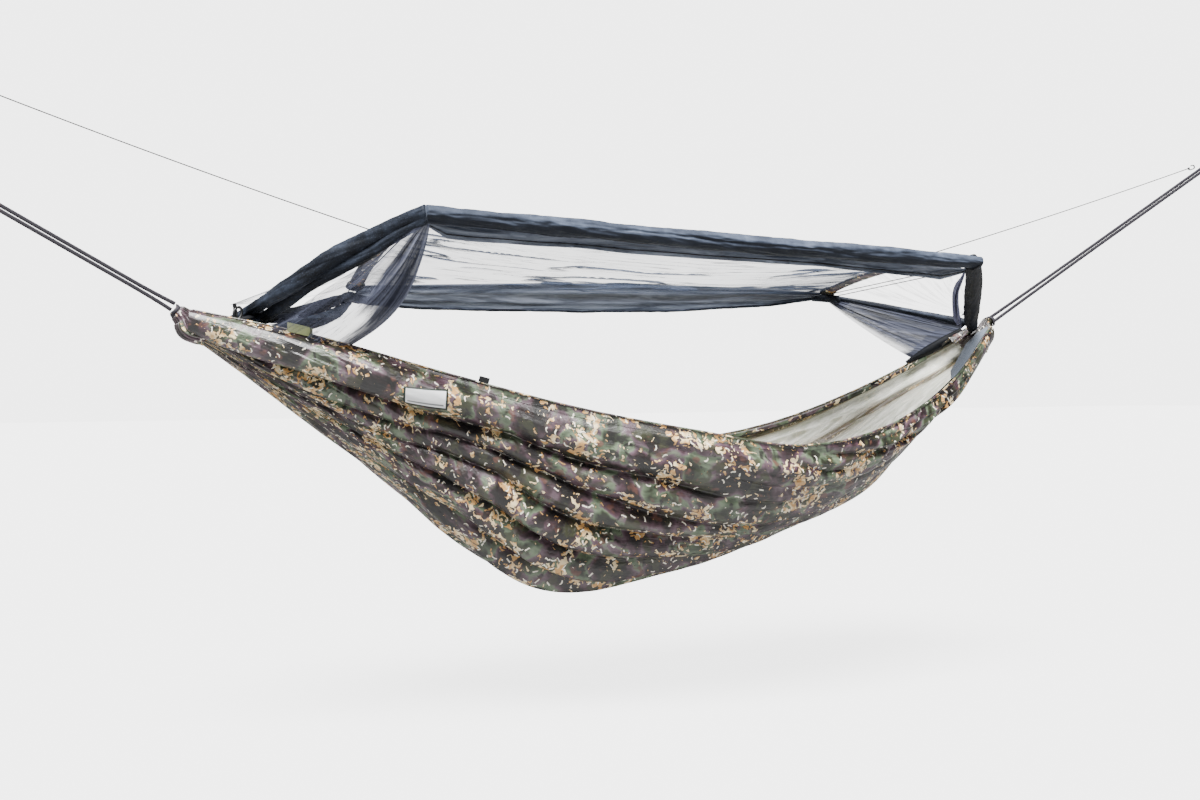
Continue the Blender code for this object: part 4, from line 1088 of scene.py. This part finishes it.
def make_end_panel(side_name, shape, side, finish):
    """A triangle of net from the spreader pole to the gather, bound along its top."""
    reach = (SLEEVE_REACH - 0.004) * np.linspace(-1, 1, 90)
    start, _ = arc_place(shape, reach)
    start = start + np.array([side * 0.018, 0, -0.004])
    tip = row(-1.000, 0.014, 0.012) if side < 0 else row(1.045, 0, 0.02)
    goal = tip + ACROSS * (0.016 * np.linspace(-1, 1, 90))[:, None]
    f = np.linspace(0, 1, 70)[:, None, None]
    points = start[None] * (1 - f) + goal[None] * f
    u, v = lattice(np.linspace(0, 1, 70), np.linspace(-1, 1, 90))
    sag = -0.016 * np.sin(np.pi * u) * (1 - 0.3 * v**2)
    creases = fractal(v * 9, u * 1.5, 101 + side)
    points[..., 2] += sag + 0.007 * np.sin(np.pi * u) * creases
    points[..., 1] += 0.003 * np.sin(np.pi * u) * creases
    fold = 0.55 * np.exp(-((fractal(v * 12, u * 1.2, 107 + side) / 0.07) ** 2)) + 0.5 * step(u, 0.8, 1)
    cloth = stacked(u * 0.5, v * 0.3, np.clip(fold, 0, 1))
    panel = cloth_grid(f"net_end_{side_name}_sheer", points, finish, cloth=cloth)
    bend_with(panel, f"net_end_{side_name}")
    ends = points[0, 0], points[0, -1]
    for k, drop in enumerate((0.0, 0.01)):
        share = np.linspace(0, 1, 60)[:, None]
        line = ends[0] * (1 - share) + ends[1] * share - UP * drop
        binding = tube_grid(f"net_end_{side_name}_binding_{k + 1}", line, np.full((60, 10), 0.0013), ROLLED)
        join(binding, "canopy")


def make_drape():
    """The loose end of the near wall: it falls from the near left corner into the bed."""
    free = rows((-0.64, -0.34, 0.176), (-0.642, -0.322, 0.135), (-0.649, -0.29, 0.084), (-0.66, -0.25, 0.033),
            (-0.683, -0.21, -0.013), (-0.715, -0.16, -0.051), (-0.765, -0.1, -0.09))
    held = rows((-0.655, -0.338, 0.17), (-0.7, -0.3, 0.136), (-0.74, -0.262, 0.102), (-0.79, -0.222, 0.066),
            (-0.84, -0.18, 0.03), (-0.89, -0.136, -0.008), (-0.94, -0.096, -0.04))
    u, v = lattice(np.linspace(0, 1, 130), np.linspace(0, 1, 110))
    points = route(held, 130)[:, None] * (1 - v[..., None]) + route(free, 130)[:, None] * v[..., None]
    loose = np.sin(np.pi * v) ** 0.7 * step(u, 0.02, 0.35)
    wave = 0.012 * np.sin(v * 17 + 2.5 * u + 1.5 * fractal(u * 2, v * 2, 109))
    wave = wave + 0.016 * fractal(u * 2.2, v * 6, 111)
    points[..., 1] += wave * loose
    points[..., 2] += -0.022 * np.sin(np.pi * v) * u + 0.4 * wave * loose
    crease = np.exp(-((fractal(v * 12 + 1, u * 1.6, 113, 3) / 0.1) ** 2))
    dense = step(v - 0.16 - 0.4 * u, 0.0, 0.14) * step(-u, -0.76, -0.6)
    dense = dense + step(v, 0.66, 0.84) * step(u, 0.55, 0.72) + step(-u, -0.16, -0.05)
    dense = np.clip(dense, 0, 1)
    hem = step(v, 0.955, 0.975)
    fold = 0.14 + 0.78 * dense + crease * (0.25 + 0.15 * dense) + 0.9 * hem
    cloth = stacked(u * 0.42, v * 0.24, np.clip(fold, 0, 1))
    drape = cloth_grid("net_drape_soft", points, NET_DRAPE, cloth=cloth)
    bend_with(drape, "net_drape_left")


def make_knots():
    """Small dark knots and loops of shock cord at the canopy's corners and the right gather."""
    far = row(RIGHT_POLE_X + 0.02, CANOPY_HALF - 0.012, RIGHT_POLE_ENDS[1] - 0.002)
    near = row(RIGHT_POLE_X - 0.006, -CANOPY_HALF + 0.03, RIGHT_POLE_ENDS[0] - 0.012)
    gather = row(1.055, -0.006, 0.012)
    left = row(LEFT_POLE_X + 0.004, -CANOPY_HALF - 0.012, LEFT_POLE_ENDS[0] + 0.002)
    beside, below = far + ALONG * 0.008 - UP * 0.008, gather - ALONG * 0.022 + UP * 0.004
    turns = circle(40)
    for name, middle, across, upright, wide, tall, body, thick in (
        ("knot_far_right_a", far, ALONG, UP, 0.01, 0.007, "canopy", 0.0026),
        ("knot_far_right_b", beside, unit(ALONG - UP), UP, 0.009, 0.005, "canopy", 0.0018),
        ("knot_near_right", near, ALONG, UP, 0.007, 0.009, "canopy", 0.0018),
        ("loop_gather_a", gather, ALONG, ACROSS + 0.3 * UP, 0.016, 0.012, "bed", 0.002),
        ("loop_gather_b", below, ALONG, 0.9 * ACROSS + 0.5 * UP, 0.012, 0.01, "bed", 0.0018),
        ("knot_near_left", left, ALONG, UP, 0.006, 0.007, "canopy", 0.0016),
    ):
        axis = unit(np.cross(across, upright))
        ring = middle + np.outer(np.cos(turns), across) * wide + np.outer(np.sin(turns), upright) * tall
        ring = ring + axis * (0.3 * wide * np.sin(2 * turns))[:, None]
        make_ring(name, ring, axis, thick, thick, ELASTIC, body)


def make_pull_loop():
    """A stiff cord loop and its tab on the near zip's pull, standing up behind the rim."""
    low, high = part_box("zip_pull_near")
    start = np.array([low[0] + 0.002, (low[1] + high[1]) / 2, high[2]])
    turns = circle(44)
    lean = unit(np.array([0.25, 0.15, 1.0]))
    across = unit(np.array([1.0, 0.1, -0.2]))
    ring = start + lean * 0.014 + np.outer(np.cos(turns), across) * 0.0085
    ring = ring + np.outer(np.sin(turns), lean) * 0.014
    make_ring("zip_pull_near_loop", ring, unit(np.cross(across, lean)), 0.0034, 0.0034, ZIP, "pull_near")
    line = start + np.outer(np.linspace(-0.002, 0.036, 30), unit(np.array([-0.1, 0.1, 1.0])))
    swell = np.interp(np.linspace(0, 1, 30), (0, 0.1, 0.3, 0.9, 1), (0.0016, 0.003, 0.0052, 0.0054, 0.004))
    radii = np.full((30, 16), 0.0014), np.tile(swell[:, None], (1, 16))
    tab = tube_grid("zip_pull_near_tab", line, radii, ZIP)
    join(tab, "pull_near")


# Straps and cords
def strap_direction(side):
    out = np.array([side * math.cos(STRAP_ANGLE), 0, math.sin(STRAP_ANGLE)])
    return out, np.array([-side * out[2], 0, abs(out[0])])


def make_strand(side_name, side, upper, reach, spread_end):
    """One webbing strand: flat woven webbing with rounded edges."""
    out, up = strap_direction(side)
    up = up * (1 if upper else -1)
    start, stop = STRAND_START, reach - LOOP_REACH
    s = np.linspace(start, stop, 120)
    apart = 0.005 + 0.003 * np.maximum(0.0, 1 - (s - start) / spread_end) ** 2
    tip = row(side * CHORD / 2, 0, 0)
    path = tip + out * s[:, None] + up * apart[:, None]
    angle = circle(20)[None]
    squircle = (np.abs(np.cos(angle)) ** 3.2 + np.abs(np.sin(angle)) ** 3.2) ** (-1 / 3.2)
    wide = 0.0035 * squircle * np.ones((120, 1))
    name = f"strap_{side_name}_{'upper' if upper else 'lower'}"
    strand = tube_grid(f"{name}_webbing", path, (wide, wide * 1.25), WEBBING)
    join(strand, "bed", name)


def make_strap_loop(side_name, side, reach):
    """The sewn loop round the carabiner's inner bar."""
    out, up = strap_direction(side)
    seat = row(side * CHORD / 2, 0, 0) + out * reach
    middle = seat - out * (CARABINER_LENGTH / 2 - CARABINER_BAR)
    tail, head, radius = -0.068, -0.026, 0.0084
    angle = circle(96)
    centre = np.where(np.cos(angle) >= 0, head - radius - 0.001, tail + radius + 0.001)
    path = middle + out * (centre + radius * np.cos(angle))[:, None]
    path = path + ACROSS * (radius * np.sin(angle))[:, None]
    section = [(-0.0058, -0.0008), (0, -0.001), (0.0058, -0.0008)]
    section += [(-h, -w) for h, w in section]
    normal = out * np.cos(angle)[:, None] + ACROSS * np.sin(angle)[:, None]
    points = np.stack([path + up * h + normal * w for h, w in section], 1)
    cloth = stacked(angle[:, None] * radius, [h for h, _ in section], 0.0)
    faces = grid_faces(*points.shape[:2], 2)
    loop = mesh_from(f"strap_loop_{side_name}_webbing", points, faces, WEBBING, cloth)
    outward(loop)
    join(loop, "bed", f"strap_loop_{side_name}")
    return loop


def make_net_cord(side_name, side, shape, degrees, length):
    angle = math.radians(degrees)
    out = unit(np.array([side * math.cos(angle) * length, 0.026, math.sin(angle) * length]))
    place, _ = arc_place(shape, 0.0)
    start = place + np.array([side * 0.014, 0, 0.0125])
    f = np.linspace(0, 1, 36)[:, None]
    path = start + out * length * f - UP * (0.006 * 4 * f * (1 - f))
    curve = bpy.data.curves.new(f"net_cord_{side_name}_line", "CURVE")
    curve.dimensions = "3D"
    spline = curve.splines.new("POLY")
    spline.points.add(len(path) - 1)
    for target, p in zip(spline.points, path):
        target.co = (*p, 1.0)
    curve.bevel_depth = NET_CORD_DIAMETER / 2
    curve.bevel_resolution = 3
    curve.use_fill_caps = True
    curve.materials.append(CORD)
    cord = linked(f"net_cord_{side_name}_line", curve)
    join(cord, "bed", f"net_cord_{side_name}")


def paint_cad():
    """Finishes for the CAD nodes that stay."""
    finishes = {
        "carabiner": STEEL, "gate": STEEL, "cord_hook": STEEL, "cord_tab": WEBBING, "edge_loop": OLIVE,
        "edge_tab": PLASTIC, "zip_slider": ZIP, "zip_pull": ZIP,
    }
    for name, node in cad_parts.items():
        finish = next((f for start, f in finishes.items() if name.startswith(start)), None)
        if name.startswith("pole_") and not name.startswith("pole_sleeve"):
            finish = ELASTIC if "cord" in name else PLASTIC if "tip" in name else ALLOY
        if finish is not None:
            node.data.materials.clear()
            node.data.materials.append(finish)


# The studio: a soft high sun from the camera's left, a dim sky, and a plain backdrop as pale as the floor
SKY = 0.65
SUN = 14.5
FLOOR_GLOW = 3.5  # keeps the floor pale without lighting the bed from below
BACKDROP = 5.35
FLOOR_HEIGHT = -0.96
FLOOR_HALF = 60.0
CAMERA_LENS = 42.54  # mm, on a sensor 36 mm wide
CAMERA_PLACE = (-1.541, -3.241, -0.208)
CAMERA_TURN = (0.4187, -0.0012, -0.0109)  # yaw, pitch and roll, in radians


def make_studio():
    camera = bpy.data.cameras.new("camera")
    camera.lens = CAMERA_LENS
    camera.sensor_width = 36.0
    eye = linked("camera", camera)
    yaw, pitch, roll = CAMERA_TURN
    ahead = Vector((math.sin(yaw) * math.cos(pitch), math.cos(yaw) * math.cos(pitch), math.sin(pitch)))
    right = Vector((math.cos(yaw), -math.sin(yaw), 0))
    up = right.cross(ahead)
    across = right * math.cos(roll) + up * math.sin(roll)
    upright = up * math.cos(roll) - right * math.sin(roll)
    turn = Matrix((across, upright, -ahead)).transposed().to_4x4()
    eye.matrix_world = Matrix.Translation(Vector(row(*CAMERA_PLACE))) @ turn
    bpy.context.scene.camera = eye

    floor_mesh = bpy.data.meshes.new("floor")
    corners = [(-1, -1), (1, -1), (1, 1), (-1, 1)]
    middle = row(0, 0, FLOOR_HEIGHT)
    floor_mesh.from_pydata([middle + np.array([x, y, 0]) * FLOOR_HALF for x, y in corners], [], [(0, 1, 2, 3)])
    floor = linked("floor", floor_mesh)
    paint = Shader("floor_paint")
    paint.set(Base_Color=(0.3, 0.3, 0.3, 1), Roughness=0.9, Specular_IOR_Level=0.0)
    paint.set(Emission_Color=(1, 1, 1, 1))
    seen = paint.node("ShaderNodeLightPath").outputs["Is Camera Ray"]
    paint.set(Emission_Strength=paint.math("MULTIPLY", seen, FLOOR_GLOW))
    floor_mesh.materials.append(paint.material)

    world = bpy.data.worlds.new("studio")
    bpy.context.scene.world = world
    world.use_nodes = True
    tree = world.node_tree
    tree.nodes["Background"].inputs["Strength"].default_value = SKY
    backdrop = tree.nodes.new("ShaderNodeBackground")
    backdrop.inputs["Strength"].default_value = BACKDROP
    seen = tree.nodes.new("ShaderNodeLightPath")
    mix = tree.nodes.new("ShaderNodeMixShader")
    tree.links.new(seen.outputs["Is Camera Ray"], mix.inputs[0])
    tree.links.new(tree.nodes["Background"].outputs[0], mix.inputs[1])
    tree.links.new(backdrop.outputs[0], mix.inputs[2])
    tree.links.new(mix.outputs[0], tree.nodes["World Output"].inputs["Surface"])

    light = bpy.data.lights.new("soft_sun", "SUN")
    light.energy = SUN
    light.angle = math.radians(34)
    lamp = linked("soft_sun", light)
    lamp.rotation_mode = "QUATERNION"
    lamp.rotation_quaternion = Vector((0.25, 0.4, -0.88)).to_track_quat("-Z", "Y")


make_studio()
SIDES = (("left", -1, LEFT_REACH, 0.1), ("right", 1, RIGHT_REACH, 0.45))  # the last: where the strands meet
strap_loops = [make_strap_loop(side_name, side, reach) for side_name, side, reach, _ in SIDES]
for strap_loop, (side_name, side, reach, spread) in zip(strap_loops, SIDES):
    make_strand(side_name, side, True, reach, spread)
    make_strand(side_name, side, False, reach, spread)
make_net_cord("left", -1, LEFT_ARC, degrees=18.0, length=0.9)
make_net_cord("right", 1, RIGHT_ARC, degrees=16.5, length=1.165)

make_bed()
make_hem("near", False)
make_hem("far", True)
make_gather("gather_left", -1)
make_gather("gather_right", 1)
make_zip("near", False, -1.02, 0.98)
make_zip("far", True, -0.98, 0.98)
make_label()
make_top_panel()
make_sleeve("left", LEFT_ARC)
make_sleeve("right", RIGHT_ARC)
make_near_roll()
make_near_hem()
make_far_band()
make_bundles()
make_end_panel("left", LEFT_ARC, -1, NET_THIN)
make_end_panel("right", RIGHT_ARC, 1, NET_CLEAR)
make_drape()
make_wedge()
make_fold_strip()
make_rim_flap()
make_tongue()
make_knots()
make_pull_loop()
paint_cad()
